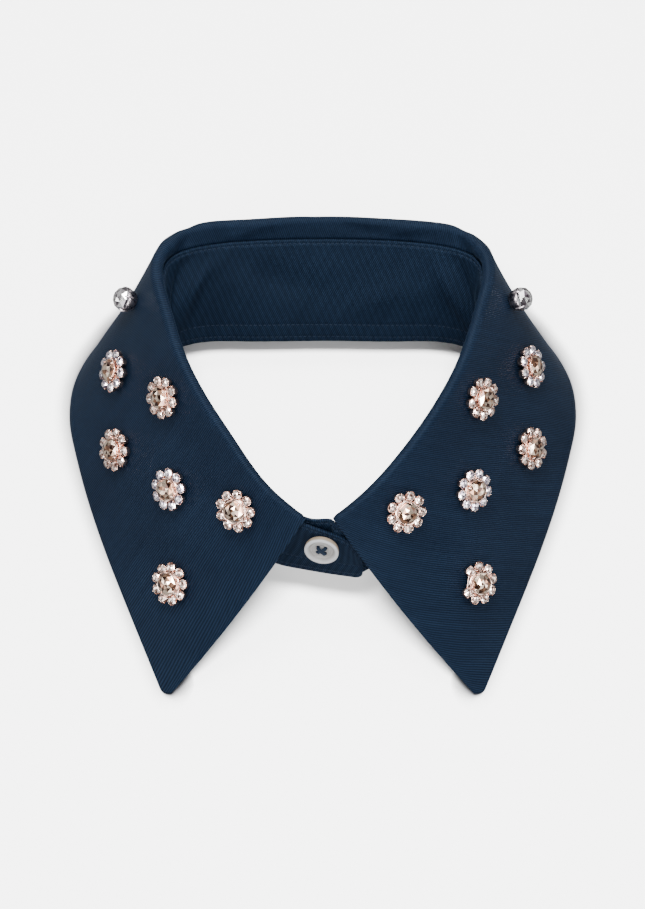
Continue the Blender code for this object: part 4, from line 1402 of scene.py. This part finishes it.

# %% [markdown]
# ## Metal, crystal and pearl
# The cups are plated rose gold, or dark silver at the shoulders, with a little tarnish. The stones are
# foil-backed, so they are finished as bright coloured mirrors under clear glass: the facet attribute
# mixes a deep tone with a pale one as a painted reflection, and a coat adds the hard glints.

# %% Metals and crystals
Metal = namedtuple("Metal", "pale deep roughness")
METALS = {
    "rose_gold": Metal((0.92, 0.70, 0.60), (0.42, 0.25, 0.20), 0.16),
    "dark_silver": Metal((0.42, 0.38, 0.40), (0.16, 0.14, 0.16), 0.2),
}
Crystal = namedtuple("Crystal", "deep middle pale metallic")
CRYSTALS = {
    "champagne": Crystal((0.058, 0.017, 0.008), (0.66, 0.33, 0.19), (1.0, 0.79, 0.62), 0.94),
    "rose": Crystal((0.16, 0.08, 0.06), (0.80, 0.53, 0.44), (1.0, 0.86, 0.80), 0.88),
    "lilac": Crystal((0.15, 0.115, 0.165), (0.70, 0.62, 0.72), (1.0, 0.96, 1.0), 0.88),
    "clear": Crystal((0.10, 0.08, 0.10), (0.75, 0.73, 0.76), (1.0, 1.0, 1.0), 0.88),
}


def metal_finish(name, metal):
    finish, shader, w = new_finish(name)
    tarnish = w.noise(w.spot(), 900.0, 3.0)
    w.fill(shader, {
        "Base Color": w.ramp(tarnish, [(0.35, metal.deep), (0.6, metal.pale)]),
        "Roughness": w.math("MULTIPLY_ADD", tarnish, 0.15, metal.roughness),
        "Metallic": 1.0,
        "Normal": w.bump(tarnish, 0.15, 0.00005),
    })
    return finish


def crystal_finish(name, crystal):
    finish, shader, w = new_finish(name)
    # Each facet is painted dark or bright by its facet value: a painted reflection
    facet = w.mark("facet")
    w.fill(shader, {
        "Base Color": w.ramp(facet, [(0.1, crystal.deep), (0.45, crystal.middle), (0.8, crystal.pale)]),
        "Roughness": w.math("MULTIPLY_ADD", facet, 0.10, 0.04),
        "Metallic": crystal.metallic, "IOR": 1.6, "Coat Weight": 1.0, "Coat Roughness": 0.02,
    })
    return finish


looks = {name: metal_finish(name, metal) for name, metal in METALS.items()}
looks |= {name: crystal_finish(name + "_crystal", crystal) for name, crystal in CRYSTALS.items()}
for piece, look in jewel_pieces:
    piece.data.materials.append(looks[look])
print("finishes of the jewels:", list(looks))

# %% Pearl
PEARL = [
    (0.1, (0.42, 0.33, 0.24)), (0.4, (0.46, 0.44, 0.42)), (0.65, (0.60, 0.59, 0.59)), (1.0, (0.78, 0.78, 0.80)),
]
pearl, shader, w = new_finish("pearl")
layers = w.noise(w.stretch(w.spot(), (140.0, 260.0, 420.0)), 1.0, 3.0, 0.55)
# The tone attribute carries the rim's painted highlight and the painted shade of the dish and its grooves
shade = w.math("MULTIPLY_ADD", layers, 0.3, w.math("SUBTRACT", w.mark("tone"), 0.15))
w.fill(shader, {
    "Base Color": w.ramp(shade, PEARL),
    "Roughness": w.math("MULTIPLY_ADD", layers, 0.1, 0.18),
    "Coat Weight": 0.4, "Coat Roughness": 0.08,
    "Normal": w.bump(layers, 0.1, 0.0001),
})
button.data.materials.append(pearl)
print("pearl:", len(pearl.node_tree.nodes), "nodes")

# %% [markdown]
# ## Lamps for the stones
# Cut stones sparkle because each facet mirrors something small and bright. A jeweller's case has
# small lamps on all sides for that. These five light the jewels alone, by light linking, so that the
# cloth keeps its depth.

# %% Lamps for the stones
SPARK_SIDE, SPARK_POWER = 0.4, 15.0
SPARKS = [
    (-0.75, -0.35, 1.0), (0.75, -0.35, 1.0), (-0.35, 0.25, 1.25), (0.35, 0.25, 1.25), (0.0, -0.95, 0.75),
]
lit_by_sparks = bpy.data.collections.new("lit_by_sparks")
for piece, look in jewel_pieces:
    lit_by_sparks.objects.link(piece)
for k, place in enumerate(SPARKS):
    spark = add_window(f"spark_{k}", place, (SPARK_SIDE, SPARK_SIDE), SPARK_POWER, WARM_WHITE)
    spark.light_linking.receiver_collection = lit_by_sparks
    spark.data.cycles.max_bounces = 0
